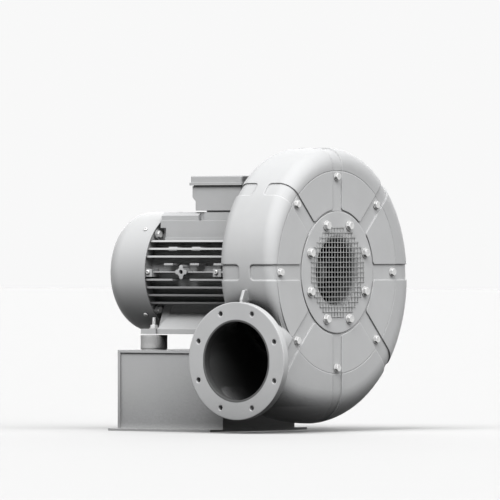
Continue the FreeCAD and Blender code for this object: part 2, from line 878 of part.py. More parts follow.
hex_screws("inlet_bolts", FRONT + " + ring_washer_thickness", {
    "diameter": "(ring_bolt - joint_gap)", "length": "ring_bolt_length + ring_washer_thickness",
    "head": "ring_bolt_head", "head_height": "ring_bolt_head_height",
}, *on_circle("ring_bolt_circle", "180 / ring_bolt_count"), "ring_bolt_count")

inlet_washers = new_body("inlet_washers")
ring_place = on_circle("ring_bolt_circle", "180 / ring_bolt_count")
washer = pad(inlet_washers, "YZ_Plane", FRONT, "ring_washer_thickness",
             [(*ring_place, "ring_washer_diameter / 2"), (*ring_place, "ring_bolt / 2 + joint_gap")])
repeat_round(inlet_washers, [washer], "ring_bolt_count")


def guard_mesh():
    """Two layers of crossed wires, cut off at whole meshes of the grid."""
    pitch = value("mesh_pitch")
    wire = value("mesh_wire")
    radius = value("mesh_radius")
    front = value(FRONT)
    bars = []
    rows = int(radius / pitch)
    for row in range(-rows, rows + 1):
        place = row * pitch
        half = math.floor(math.sqrt(radius ** 2 - place ** 2) / pitch) * pitch + wire
        bars.append(Part.makeBox(wire, wire, 2 * half, V(front, place - wire / 2, -half)))
        bars.append(Part.makeBox(wire, 2 * half, wire, V(front + wire, -half, place - wire / 2)))
    new_feature("guard_mesh", Part.Compound(bars), "shaft_height")


guard_mesh()

# Impeller: hub, back plate, curved blades and shroud

WHEEL_BACK = "(casing_rear + casing_wall + impeller_rear_gap)"
WHEEL_FACE = "(" + WHEEL_BACK + " + impeller_plate)"
SHAFT_END = "(casing_rear + shaft_end_length)"

impeller_hub = new_body("impeller_hub")
turn(impeller_hub, [
    (WHEEL_FACE, "shaft_end_radius + running_gap"),
    (WHEEL_FACE, "hub_flange_radius"),
    (WHEEL_FACE + " + hub_flange_thickness", "hub_flange_radius"),
    (WHEEL_FACE + " + hub_flange_thickness", "hub_rivet_circle / 2 - hub_rivet"),
    (WHEEL_FACE + " + 2 * hub_flange_thickness", "hub_radius + 2"),
    (SHAFT_END + " + 1", "hub_radius"),
    (SHAFT_END + " + 1", "shaft_end_radius + running_gap"),
])
cut(impeller_hub, "YZ_Plane", WHEEL_FACE + " - 1", "hub_length + 40",
    [box_loop("-key_width / 2", "key_width / 2", "0",
              "shaft_end_radius + key_height - key_sink + joint_gap")])

impeller_backplate = new_body("impeller_backplate")
turn(impeller_backplate, box_loop(WHEEL_BACK, WHEEL_FACE, "shaft_end_radius + 3", "impeller_radius"))

impeller_rivets = new_body("impeller_rivets")
rivet_place = on_circle("hub_rivet_circle", "0")
rivet_features = [
    pad(impeller_rivets, "YZ_Plane", WHEEL_BACK + " - rivet_head_height", "rivet_head_height",
        [(*rivet_place, "rivet_head / 2")]),
    pad(impeller_rivets, "YZ_Plane", WHEEL_FACE + " + hub_flange_thickness", "rivet_head_height",
        [(*rivet_place, "rivet_head / 2")]),
    pad(impeller_rivets, "YZ_Plane", WHEEL_BACK, "impeller_plate + hub_flange_thickness",
        [(*rivet_place, "hub_rivet / 2")]),
]
repeat_round(impeller_rivets, rivet_features, "hub_rivet_count")
for holed, start, length in ((impeller_hub, WHEEL_FACE, "hub_flange_thickness"),
                             (impeller_backplate, WHEEL_BACK, "impeller_plate")):
    rivet_hole = cut(holed, "YZ_Plane", start + " - 1", length + " + 2", [(*rivet_place, "hub_rivet / 2")])
    repeat_round(holed, [rivet_hole], "hub_rivet_count")

SHROUD_RIM = "(" + WHEEL_FACE + " + impeller_rim_width)"
SHROUD_EYE = "(" + WHEEL_FACE + " + impeller_eye_width)"

impeller_shroud = new_body("impeller_shroud")
turn(impeller_shroud, [
    (SHROUD_RIM, "impeller_radius"),
    (SHROUD_RIM + " + shroud_thickness", "impeller_radius"),
    (SHROUD_EYE + " + shroud_thickness", "eye_radius + 12"),
    (SHROUD_EYE + " + 14", "eye_radius + shroud_thickness"),
    (SHROUD_EYE + " + 14", "eye_radius"),
    (SHROUD_EYE, "eye_radius + 9"),
])


def impeller_blades():
    """Backward curved blades between the back plate and the cone of the shroud."""
    face = value(WHEEL_FACE)
    tip = value("impeller_radius")
    root = value("blade_root_radius")
    bend = value("blade_curve_radius")
    half = value("blade_thickness / 2")
    depth = value("impeller_eye_width") + 5
    centre = V(face, -value("blade_centre_back"), root + value("blade_centre_out"))
    ring = cylinder(bend + half, 0, depth, centre=centre).cut(cylinder(bend - half, 0, depth, centre=centre))
    span = cylinder(tip, face, face + depth).cut(cylinder(root, face, face + depth))
    crescent = ring.common(span)
    blade = max(crescent.Solids, key=lambda solid: solid.CenterOfMass.y)
    rim = value(SHROUD_RIM)
    eye = value(SHROUD_EYE)
    slope_end = value("eye_radius + 9")
    cone = Part.Face(Part.makePolygon([V(face, 0, 0), V(face, tip, 0), V(rim, tip, 0), V(eye, slope_end, 0),
                                       V(eye, 0, 0), V(face, 0, 0)])).revolve(V(0, 0, 0), ALONG_SHAFT, 360)
    blade = blade.common(cone).Solids[0]
    count = int(value("blade_count"))
    blades = []
    for index in range(count):
        copy = blade.copy()
        copy.rotate(V(0, 0, 0), ALONG_SHAFT, 360 * index / count)
        blades.append(copy)
    new_feature("impeller_blades", Part.Compound(blades), "shaft_height")


impeller_blades()

impeller_washer = new_body("impeller_washer")
turn(impeller_washer, box_loop(SHAFT_END + " + 1", SHAFT_END + " + 1 + end_washer_thickness",
                               "end_screw / 2 + joint_gap", "end_washer_radius"))

impeller_screw = new_body("impeller_screw")
turn(impeller_screw, box_loop(SHAFT_END + " - 2 * end_screw", SHAFT_END + " + 1 + end_washer_thickness",
                              "0", "end_screw / 2"))
pad(impeller_screw, "YZ_Plane", SHAFT_END + " + 1 + end_washer_thickness", "end_screw_head_height",
    [hexagon("0", "0", "end_screw_head")])

# Shaft with its key and the rotor on it

DRIVE_BEARING_END = "(drive_bearing_place + bearing_width)"
FAN_BEARING_END = "(fan_bearing_place + bearing_width)"
STATOR_END = "(stator_place + stator_length)"

shaft = new_body("shaft")
turn(shaft, [
    ("shaft_fan_end", "0"),
    ("shaft_fan_end", "fan_seat_radius"),
    ("fan_bearing_place - 3", "fan_seat_radius"),
    ("fan_bearing_place - 3", "bearing_bore_radius"),
    (FAN_BEARING_END, "bearing_bore_radius"),
    (FAN_BEARING_END, "shaft_shoulder_radius"),
    ("stator_place - 10", "shaft_shoulder_radius"),
    ("stator_place - 10", "rotor_seat_radius"),
    (STATOR_END + " + 10", "rotor_seat_radius"),
    (STATOR_END + " + 10", "shaft_shoulder_radius"),
    ("drive_bearing_place", "shaft_shoulder_radius"),
    ("drive_bearing_place", "bearing_bore_radius"),
    (DRIVE_BEARING_END + " + 5", "bearing_bore_radius"),
    (DRIVE_BEARING_END + " + 5", "shaft_end_radius"),
    (SHAFT_END, "shaft_end_radius"),
    (SHAFT_END, "0"),
])
cut(shaft, "YZ_Plane", SHAFT_END + " - key_length - 5", "key_length",
    [box_loop("-key_width / 2", "key_width / 2", "shaft_end_radius - key_sink", "shaft_end_radius + 5")])
cut(shaft, "YZ_Plane", SHAFT_END + " - 2 * end_screw", "2 * end_screw + 1", [("0", "0", "end_screw / 2")])

shaft_key = new_body("shaft_key")
pad(shaft_key, "YZ_Plane", SHAFT_END + " - key_length - 5", "key_length",
    [box_loop("-key_width / 2", "key_width / 2", "shaft_end_radius - key_sink",
              "shaft_end_radius + key_height - key_sink")])

rotor_core = new_body("rotor_core")
turn(rotor_core, box_loop("stator_place", STATOR_END, "rotor_seat_radius", "stator_bore_radius - air_gap"))

rotor_end_rings = new_body("rotor_end_rings")
turn(rotor_end_rings, [
    ("stator_place - cage_ring_width", "rotor_seat_radius + 10"),
    ("stator_place", "rotor_seat_radius + 10"),
    ("stator_place", "cage_ring_radius"),
    ("stator_place - cage_ring_width", "cage_ring_radius"),
])
turn(rotor_end_rings, box_loop(STATOR_END, STATOR_END + " + cage_ring_width",
                               "rotor_seat_radius + 10", "cage_ring_radius"))

shaft_seal = new_body("shaft_seal")
turn(shaft_seal, box_loop("casing_rear + flange_spigot + joint_gap",
                          "casing_rear + flange_spigot + joint_gap + seal_thickness",
                          "shaft_end_radius + joint_gap", "seal_seat_radius"))


def bearing(name, place):
    """A deep groove ball bearing as an outer ring, an inner ring and a set of balls."""
    middle = "(%s + bearing_width / 2)" % place
    end = "(%s + bearing_width)" % place
    pitch = "((bearing_bore_radius + bearing_radius) / 2)"
    groove = "bearing_ball / 2 + running_gap"
    outer = new_body(name + "_outer_ring")
    turn(outer, box_loop(place, end, pitch + " + bearing_land", "bearing_radius"))
    inner = new_body(name + "_inner_ring")
    turn(inner, box_loop(place, end, "bearing_bore_radius", pitch + " - bearing_land"))
    for ring in (outer, inner):
        drawing = new_sketch(ring, "XY_Plane")
        draw_circle(drawing, middle, pitch, groove)
        track = ring.newObject("PartDesign::Groove", ring.Label + "_track")
        track.Profile = drawing
        track.ReferenceAxis = (drawing, ["H_Axis"])
        track.Angle = 360
    balls = new_body(name + "_balls")
    ball = balls.newObject("PartDesign::AdditiveSphere", balls.Label + "_ball")
    ball.setExpression("Radius", formula("bearing_ball / 2"))
    ball.AttachmentSupport = [(origin_part(balls, "YZ_Plane"), "")]
    ball.MapMode = "FlatFace"
    ball.setExpression("AttachmentOffset.Base.x", formula(pitch))
    ball.setExpression("AttachmentOffset.Base.z", formula(middle))
    repeat_round(balls, [ball], "bearing_ball_count")


bearing("drive_bearing", "drive_bearing_place")
bearing("fan_bearing", "fan_bearing_place")

preload_washer = new_body("preload_washer")
turn(preload_washer, box_loop("fan_bearing_place - preload_thickness", "fan_bearing_place",
                              "bearing_radius - 8", "bearing_radius - joint_gap"))

# Stator and windings

stator_core = new_body("stator_core")
turn(stator_core, box_loop("stator_place", STATOR_END, "stator_bore_radius", "frame_bore_radius"))

windings = new_body("windings")
for start, end in (("stator_place - winding_reach", "stator_place"),
                   (STATOR_END, STATOR_END + " + winding_reach")):
    turn(windings, box_loop(start, end, "winding_inner", "winding_outer"))

# Finned motor frame

SADDLE_EAVES = "saddle_top - 22"
EAR = (*on_circle("ear_circle", "45"), "ear_radius")
SHIELD_SCREW_HOLE = (*on_circle("ear_circle", "45"), "shield_screw / 2 + joint_gap")

motor_frame = new_body("motor_frame")
fin_reach = "(fin_radius + 1)"
side_fin = pad(motor_frame, "YZ_Plane", "frame_rear", "frame_front - frame_rear",
               [box_loop("-" + fin_reach, fin_reach,
                         "-fin_pitch * (fin_rows - 1) / 2 - fin_thickness / 2",
                         "-fin_pitch * (fin_rows - 1) / 2 + fin_thickness / 2")])
repeat_along(motor_frame, [side_fin], "Z_Axis", "fin_pitch", "fin_rows")

# Room round the four lobed bosses, then a thinner middle fin, the bosses and the pads on the rows above
across_frame(cut, fin_reach,
             [box_loop("star_place - star_room_half_length", "star_place + star_room_half_length",
                       "-star_room_drop", "-fin_pitch / 2"),
              box_loop("frame_rear - 1", "front_lug_place", "upper_room_bottom", "upper_room_top"),
              box_loop("rear_lug_place + lug_length", "front_lug_place", "-middle_room_half_height",
                       "middle_room_half_height")])
across_frame(pad, "(fin_radius - middle_fin_setback)",
             [box_loop("rear_lug_place + lug_length - 1", "front_lug_place + 1", "-middle_fin_thickness / 2",
                       "middle_fin_thickness / 2")])
across_frame(pad, "star_reach", [("star_place", "0", "star_core_radius")])
across_frame(pad, "star_reach",
             [("star_place + %d * star_lobe_offset" % across, "%d * star_lobe_offset" % up,
               "star_lobe_radius")
              for across, up in ((1, 0), (-1, 0), (0, 1), (0, -1))])
across_frame(cut, "(star_reach + 1)", [("star_place", "0", "star_hole / 2")])
for row, height, places in (("(3 * fin_pitch)", "fin_pad_height", ("fin_pad_rear", "fin_pad_front")),
                            ("fin_pitch", "fin_thickness", ("barrel_pad_rear", "barrel_pad_front"))):
    across_frame(pad, "sqrt(fin_radius ^ 2 - %s ^ 2)" % row,
                 [box_loop(place, place + " + fin_pad_length", "%s - %s / 2" % (row, height),
                           "%s + %s / 2" % (row, height)) for place in places])
turn(motor_frame, box_loop("frame_rear", "frame_front", "frame_bore_radius - 1", "frame_core_radius"))
slot_floor = "(frame_core_radius - barrel_slot_depth)"
for start in ("-frame_core_radius", slot_floor):
    cut(motor_frame, "XZ_Plane", start, "barrel_slot_depth",
        [box_loop(place + " + fin_pad_length", place + " + 2 * fin_pad_length",
                  "fin_pitch - barrel_slot_height / 2", "fin_pitch + barrel_slot_height / 2")
         for place in ("barrel_pad_rear", "barrel_pad_front")])
bottom_fin = pad(motor_frame, "YZ_Plane", "frame_rear", "frame_front - frame_rear",
                 [box_loop("-top_fin_pitch * (top_fin_rows - 1) / 2 - fin_thickness / 2",
                           "-top_fin_pitch * (top_fin_rows - 1) / 2 + fin_thickness / 2",
                           "-fin_radius + 6", "-frame_core_radius + 6")])
repeat_along(motor_frame, [bottom_fin], "Y_Axis", "top_fin_pitch", "top_fin_rows")
turn_away(motor_frame, box_loop("frame_rear - 1", "frame_front + 1", "fin_radius", "fin_radius * 2"))

# Round ears at both ends, which the end shields' screws go through
ears = []
for start in ("frame_rear", "frame_front - ear_length"):
    ears.append(pad(motor_frame, "YZ_Plane", start, "ear_length", [EAR]))
    ears.append(pad(motor_frame, "YZ_Plane", start, "ear_length",
                    [(*on_circle("ear_circle - 2 * ear_web_radius", "45"), "ear_web_radius")]))
repeat_round(motor_frame, ears, "4")

# Lugs at both ends, a little below the height of the shaft
for place in ("rear_lug_place", "front_lug_place"):
    pad(motor_frame, "YZ_Plane", place, "lug_length",
        [box_loop("-lug_reach", "lug_reach", "lug_bottom", "lug_top")])

# The saddle that carries the terminal box, with its stepped roof, and the neck under the box
pad(motor_frame, "YZ_Plane", "saddle_rear", "saddle_front - saddle_rear", [[
    ("-saddle_half_width", "saddle_side_bottom"),
    ("saddle_half_width", "saddle_side_bottom"),
    ("saddle_half_width", SADDLE_EAVES),
    ("saddle_half_width - saddle_tier", SADDLE_EAVES),
    ("saddle_half_width - saddle_tier", SADDLE_EAVES + " + saddle_tier_height"),
    ("saddle_roof_half_width", "saddle_top"),
    ("-saddle_roof_half_width", "saddle_top"),
    ("-saddle_half_width + saddle_tier", SADDLE_EAVES + " + saddle_tier_height"),
    ("-saddle_half_width + saddle_tier", SADDLE_EAVES),
    ("-saddle_half_width", SADDLE_EAVES),
]])
pad(motor_frame, "YZ_Plane", "saddle_rear", "saddle_front - saddle_rear",
    [box_loop("-saddle_half_width - saddle_lip", "saddle_half_width + saddle_lip",
              "saddle_side_bottom - saddle_lip_height", "saddle_side_bottom + 1")])
pad(motor_frame, "YZ_Plane", "neck_rear", "saddle_front - neck_rear",
    [box_loop("-neck_half_width", "neck_half_width", SADDLE_EAVES + " - 1", "saddle_top - 1")])
pad(motor_frame, "YZ_Plane", "neck_rear", "saddle_front - neck_rear",
    [box_loop("-neck_top_half_width", "neck_top_half_width", "saddle_top - 2", "box_floor")])
for side in (-1, 1):
    near = "%d * (saddle_half_width - neck_notch_depth)" % side
    outside = "%d * (saddle_half_width + saddle_lip + 1)" % side
    cut(motor_frame, "YZ_Plane", "neck_rear - neck_notch", "neck_notch",
        [box_loop(near, outside, SADDLE_EAVES, "saddle_top + 1")])
    near = "%d * (saddle_half_width - ear_room_length)" % side
    cut(motor_frame, "YZ_Plane", "saddle_rear - 1", "ear_room_length + 1",
        [box_loop(near, outside, "saddle_side_bottom - saddle_lip_height - 1", "ear_room_top")])

turn_away(motor_frame, box_loop("frame_rear - 1", "frame_front + 1", "0", "frame_bore_radius"))
screw_ways = [cut(motor_frame, "YZ_Plane", start, "ear_length + 1", [SHIELD_SCREW_HOLE])
              for start in ("frame_rear - 1", "frame_front - ear_length")]
repeat_round(motor_frame, screw_ways, "4")

# End shields

drive_shield = new_body("drive_shield")
turn(drive_shield, [
    ("frame_front - shield_spigot", "frame_bore_radius - 6"),
    ("frame_front - shield_spigot", "frame_bore_radius"),
    ("frame_front", "frame_bore_radius"),
    ("frame_front", "shield_rim_radius"),
    ("frame_front + shield_rim_length", "shield_rim_radius"),
    ("frame_front + shield_rim_length + 6", "shield_rim_radius - 18"),
    ("casing_rear - flange_thickness", "shield_rim_radius - 18"),
    ("casing_rear - flange_thickness", "flange_radius"),
    ("casing_rear", "flange_radius"),
    ("casing_rear", "flange_spigot_radius"),
    ("casing_rear + flange_spigot", "flange_spigot_radius"),
    ("casing_rear + flange_spigot", "flange_spigot_radius - 12"),
    ("casing_rear - 4", "flange_spigot_radius - 12"),
    (DRIVE_BEARING_END + " + 8", "bearing_radius + bearing_housing_wall"),
    (DRIVE_BEARING_END + " + 8", "shaft_opening_radius"),
    (DRIVE_BEARING_END, "shaft_opening_radius"),
    (DRIVE_BEARING_END, "bearing_radius"),
    ("drive_bearing_place", "bearing_radius"),
    ("drive_bearing_place", "bearing_radius + bearing_housing_wall"),
    ("drive_bearing_place + 12", "bearing_radius + bearing_housing_wall + 8"),
    ("frame_front + shield_rim_length", "frame_bore_radius - 6"),
])
flange_hole = cut(drive_shield, "YZ_Plane", "casing_rear - flange_thickness - 1", "flange_thickness + 2",
                  [(*on_circle("flange_bolt_circle", "45"), "flange_bolt / 2 + 2 * joint_gap")])
repeat_round(drive_shield, [flange_hole], "4")
drive_screw_cuts = [
    cut(drive_shield, "YZ_Plane", "frame_front + shield_rim_length", "ear_radius", [EAR]),
    cut(drive_shield, "YZ_Plane", "frame_front - 1", "shield_rim_length + 2", [SHIELD_SCREW_HOLE]),
]
repeat_round(drive_shield, drive_screw_cuts, "4")

fan_shield = new_body("fan_shield")
turn(fan_shield, [
    ("frame_rear + shield_spigot", "frame_bore_radius"),
    ("frame_rear", "frame_bore_radius"),
    ("frame_rear", "shield_rim_radius - 1"),
    ("frame_rear - shield_rim_length", "shield_rim_radius - 1"),
    ("frame_rear - shield_rim_length - 8", "shield_rim_radius - 18"),
    ("fan_bearing_place", "bearing_radius + bearing_housing_wall + 14"),
    ("fan_bearing_place - 8", "bearing_radius + bearing_housing_wall"),
    ("fan_bearing_place - 8", "shaft_opening_radius"),
    ("fan_bearing_place - 3", "shaft_opening_radius"),
    ("fan_bearing_place - 3", "bearing_radius"),
    (FAN_BEARING_END, "bearing_radius"),
    (FAN_BEARING_END, "bearing_radius + bearing_housing_wall"),
    (FAN_BEARING_END + " - 8", "bearing_radius + bearing_housing_wall + 14"),
    ("frame_rear - 8", "frame_bore_radius - 6"),
    ("frame_rear + shield_spigot", "frame_bore_radius - 6"),
])

# The rear shield is drawn an eighth of a turn round, with its lugs and holes upright
COWL_SCREW_PLACE = "(cowl_rim - cowl_screw_setback)"
LUG_TOP = "cowl_radius - cowl_wall - 2 * joint_gap"
cowl_lug = pad(fan_shield, "YZ_Plane", COWL_SCREW_PLACE + " - cowl_lug_length / 2",
               "frame_rear - 2 - %s + cowl_lug_length / 2" % COWL_SCREW_PLACE,
               [box_loop("-cowl_lug_width / 2", "cowl_lug_width / 2", "shield_rim_radius - 14", LUG_TOP)])
repeat_round(fan_shield, [cowl_lug], "4")
shield_cuts = [
    cut(fan_shield, "XZ_Plane", "cowl_radius - cowl_screw_length - 1", "cowl_screw_length",
        [(COWL_SCREW_PLACE, "0", "(cowl_screw + joint_gap) / 2")]),
    cut(fan_shield, "YZ_Plane", "frame_rear + ear_length - shield_screw_length - 1", "shield_screw_length",
        [(*on_circle("ear_circle", "0"), "shield_screw / 2")]),
]
repeat_round(fan_shield, shield_cuts, "4")
turn_about_shaft(fan_shield, 45)

# The screws that hold both shields to the ears of the frame
shield_screws = new_body("shield_screws")
shield_screw_shank = "(shield_screw - joint_gap) / 2"
shield_screw_place = on_circle("ear_circle", "45")
rear_seat = "(frame_rear + ear_length)"
front_seat = "(frame_front + shield_rim_length)"
screw_features = []
for seat, shank_start in ((rear_seat, rear_seat + " - shield_screw_length"),
                          (front_seat, front_seat + " - shield_screw_length")):
    screw_features.append(pad(shield_screws, "YZ_Plane", shank_start, "shield_screw_length",
                              [(*shield_screw_place, shield_screw_shank)]))
    screw_features.append(pad(shield_screws, "YZ_Plane", seat, "shield_screw_head_height",
                              [hexagon(*shield_screw_place, "shield_screw_head")]))
repeat_round(shield_screws, screw_features, "4")

# The small round headed screws above the side lugs of the frame
lug_screws = new_body("lug_screws")
lug_screw_parts = []
for place in ("rear_lug_place + lug_screw_setback + 2", "front_lug_place + lug_screw_setback"):
    lug_screw_parts.append(pad(lug_screws, "XZ_Plane", "lug_reach", "lug_screw_head_height",
                               [(place, "0", "lug_screw_head / 2")]))
mirror(lug_screws, lug_screw_parts, ["XZ_Plane"])

flange_bolts = new_body("flange_bolts")
flange_place = on_circle("flange_bolt_circle", "45")
bolt_features = [
    pad(flange_bolts, "YZ_Plane", "casing_rear - flange_thickness - flange_bolt_head_height",
        "flange_bolt_head_height", [hexagon(*flange_place, "flange_bolt_head")]),
    pad(flange_bolts, "YZ_Plane", "casing_rear - flange_thickness",
        "flange_thickness + casing_wall + rear_boss_depth - 1",
        [(*flange_place, "flange_bolt / 2 - joint_gap")]),
]
repeat_round(flange_bolts, bolt_features, "4")

# Cooling fan and its cowl

cooling_fan = new_body("cooling_fan")
FAN_BACK = "(shaft_fan_end + 2)"
turn(cooling_fan, [
    (FAN_BACK, "fan_seat_radius + running_gap"),
    (FAN_BACK, "fan_hub_radius"),
    (FAN_BACK + " + fan_blade_width", "fan_hub_radius"),
    (FAN_BACK + " + fan_blade_width", "fan_radius - 20"),
    (FAN_BACK + " + fan_blade_width + 3", "fan_radius - 20"),
    (FAN_BACK + " + fan_blade_width + 3", "fan_seat_radius + running_gap"),
])
fan_blade = pad(cooling_fan, "YZ_Plane", FAN_BACK, "fan_blade_width + 1",
                [box_loop("-fan_blade_thickness / 2", "fan_blade_thickness / 2", "fan_hub_radius - 1",
                          "fan_radius")])
repeat_round(cooling_fan, [fan_blade], "fan_blade_count")

fan_cowl = new_body("fan_cowl")
turn(fan_cowl, [
    ("cowl_end", "0"),
    ("cowl_end", "cowl_radius"),
    ("cowl_rim", "cowl_radius"),
    ("cowl_rim", "0"),
])
round_edges(fan_cowl, "cowl_rounding", lambda edge: is_circle(edge, value("cowl_end"), value("cowl_radius")))
doc.recompute()
cowl_solid = fan_cowl.Tip
cowl_mouth = ["Face%d" % (index + 1) for index, face in enumerate(cowl_solid.Shape.Faces)
              if abs(face.BoundBox.XMin - value("cowl_rim")) < 0.01]
cowl_shell = fan_cowl.newObject("PartDesign::Thickness", "fan_cowl_shell")
cowl_shell.Base = (cowl_solid, cowl_mouth)
cowl_shell.Reversed = True
cowl_shell.setExpression("Value", formula("cowl_wall"))
fan_cowl.Tip = cowl_shell
inner_slot = cut(fan_cowl, "YZ_Plane", "cowl_end - 1", "cowl_wall + 2",
                 [box_loop("-grille_slot / 2", "grille_slot / 2", "grille_inner_start", "grille_inner_end")])
repeat_round(fan_cowl, [inner_slot], "grille_inner_slots")
outer_slot = cut(fan_cowl, "YZ_Plane", "cowl_end - 1", "cowl_wall + 2",
                 [box_loop("-grille_slot / 2", "grille_slot / 2", "grille_outer_start", "grille_outer_end")])
repeat_round(fan_cowl, [outer_slot], "grille_outer_slots")


# Four screws through the cowl's side into the rear end shield
screw_hole = cut(fan_cowl, "XZ_Plane", "cowl_radius - 3 * cowl_wall", "4 * cowl_wall",
                 [(COWL_SCREW_PLACE, "0", "cowl_screw / 2 + joint_gap")])
repeat_round(fan_cowl, [screw_hole], "4")

cowl_screws = new_body("cowl_screws")
screw_parts = [
    pad(cowl_screws, "XZ_Plane", "cowl_radius - cowl_screw_length", "cowl_screw_length",
        [(COWL_SCREW_PLACE, "0", "cowl_screw / 2")]),
    pad(cowl_screws, "XZ_Plane", "cowl_radius", "cowl_screw_head_height",
        [(COWL_SCREW_PLACE, "0", "cowl_screw")]),
]
repeat_round(cowl_screws, screw_parts, "4")
for diagonal_piece in (fan_cowl, cowl_screws):
    turn_about_shaft(diagonal_piece, 45)

# Terminal box

BOX_UP = "shaft_height + box_floor"
terminal_box = new_body("terminal_box", BOX_UP, "box_centre")
pad(terminal_box, "XY_Plane", "0", "box_top - box_floor",
    [box_loop("-box_length / 2 + box_step", "box_length / 2", "-box_depth / 2", "box_depth / 2")])
pad(terminal_box, "XZ_Plane", "-box_depth / 2", "box_depth",
    [[("-box_length / 2", "box_step_top - box_floor"),
      ("-box_length / 2 + box_step", "box_step_bottom - box_floor"),
      ("0", "box_step_bottom - box_floor"),
      ("0", "box_top - box_floor"),
      ("-box_length / 2", "box_top - box_floor")]])
round_edges(terminal_box, "box_corner", lambda edge: is_straight(edge, (0, 0, 1)))
cut(terminal_box, "XY_Plane", "box_wall", "box_top - box_floor",
    [box_loop("-box_length / 2 + box_step + box_wall + 3", "box_length / 2 - box_wall - 3",
              "-box_depth / 2 + box_wall + 3", "box_depth / 2 - box_wall - 3")])
cut(terminal_box, "XY_Plane", "-1", "box_wall + 2", [("0", "box_depth / 4", "12")])
PLUG_UP = "((box_top - box_floor) / 2)"
cut(terminal_box, "XZ_Plane", "-box_depth / 2 - 1", "box_wall + 5",
    [("entry_plug_spacing / 2", PLUG_UP, "entry_plug / 2 - 2"),
     ("-entry_plug_spacing / 2", PLUG_UP, "entry_plug / 2 - 2")])

entry_plugs = new_body("entry_plugs", BOX_UP, "box_centre")
pad(entry_plugs, "XZ_Plane", "-box_depth / 2 - entry_plug_reach", "entry_plug_reach",
    [hexagon("entry_plug_spacing / 2", PLUG_UP, "entry_plug"),
     hexagon("-entry_plug_spacing / 2", PLUG_UP, "entry_plug")])
pad(entry_plugs, "XZ_Plane", "-box_depth / 2", "box_wall + 4",
    [("entry_plug_spacing / 2", PLUG_UP, "entry_plug / 2 - 2"),
     ("-entry_plug_spacing / 2", PLUG_UP, "entry_plug / 2 - 2")])

LID_UP = "shaft_height + box_top"
lid_gasket = new_body("lid_gasket", LID_UP, "box_centre")
pad(lid_gasket, "XY_Plane", "0", "2",
    [box_loop("-box_length / 2 + 4", "box_length / 2 - 4", "-box_depth / 2 + 4", "box_depth / 2 - 4"),
     box_loop("-box_length / 2 + box_wall + 3", "box_length / 2 - box_wall - 3",
              "-box_depth / 2 + box_wall + 3", "box_depth / 2 - box_wall - 3")])

terminal_lid = new_body("terminal_lid", LID_UP, "box_centre")
pad(terminal_lid, "XY_Plane", "2", "lid_brim - 2",
    [box_loop("-lid_length / 2", "lid_length / 2", "-lid_depth / 2", "lid_depth / 2")])
pad(terminal_lid, "XY_Plane", "lid_brim", "lid_height - lid_brim",
    [box_loop("-lid_length / 2 + lid_brim_width", "lid_length / 2 - lid_brim_width",
              "-lid_depth / 2 + lid_brim_width", "lid_depth / 2 - lid_brim_width")])
round_edges(terminal_lid, "lid_corner", lambda edge: is_straight(edge, (0, 0, 1)))
round_edges(terminal_lid, "lid_wall",
            lambda edge: abs(edge.BoundBox.ZMin - value("lid_height")) < 0.01)
cut(terminal_lid, "XY_Plane", "1", "lid_height - 1 - lid_wall",
    [box_loop("-box_length / 2 + 2 * box_wall", "box_length / 2 - 2 * box_wall",
              "-box_depth / 2 + 2 * box_wall", "box_depth / 2 - 2 * box_wall")])
LID_SCREW_PLACE = ("lid_length / 2 - 2 * box_wall", "lid_depth / 2 - 2 * box_wall")
lid_screw_sink = cut(terminal_lid, "XY_Plane", "lid_height - lid_screw_sink", "lid_screw_sink + 1",
                     [(*LID_SCREW_PLACE, "lid_screw_head / 2 + 2 * joint_gap")])
mirror(terminal_lid, [lid_screw_sink], ["XZ_Plane", "YZ_Plane"])

lid_screws = new_body("lid_screws", LID_UP, "box_centre")
lid_screw_head = pad(lid_screws, "XY_Plane", "lid_height - lid_screw_sink", "lid_screw_sink - 1",
                     [(*LID_SCREW_PLACE, "lid_screw_head / 2")])
mirror(lid_screws, [lid_screw_head], ["XZ_Plane", "YZ_Plane"])

terminal_board = new_body("terminal_board", BOX_UP, "box_centre", "-box_depth / 8")
pad(terminal_board, "XY_Plane", "box_wall", "board_height",
    [box_loop("-board_length / 2", "board_length / 2", "-board_depth / 2", "board_depth / 2")])

terminal_studs = new_body("terminal_studs", BOX_UP, "box_centre", "-box_depth / 8")
stud = pad(terminal_studs, "XY_Plane", "box_wall + board_height", "18",
           [("board_length / 3", "board_depth / 4", "terminal_stud / 2")])
stud_nut = pad(terminal_studs, "XY_Plane", "box_wall + board_height", "5",
               [hexagon("board_length / 3", "board_depth / 4", "terminal_nut")])
middle_stud = pad(terminal_studs, "XY_Plane", "box_wall + board_height", "18",
                  [("0", "board_depth / 4", "terminal_stud / 2")])
middle_nut = pad(terminal_studs, "XY_Plane", "box_wall + board_height", "5",
                 [hexagon("0", "board_depth / 4", "terminal_nut")])
mirror(terminal_studs, [stud, stud_nut, middle_stud, middle_nut], ["XZ_Plane", "YZ_Plane"])

# Foot rails under the motor frame

SOLE = "-foot_drop"
PAD_TOP = "(foot_thickness - foot_drop)"


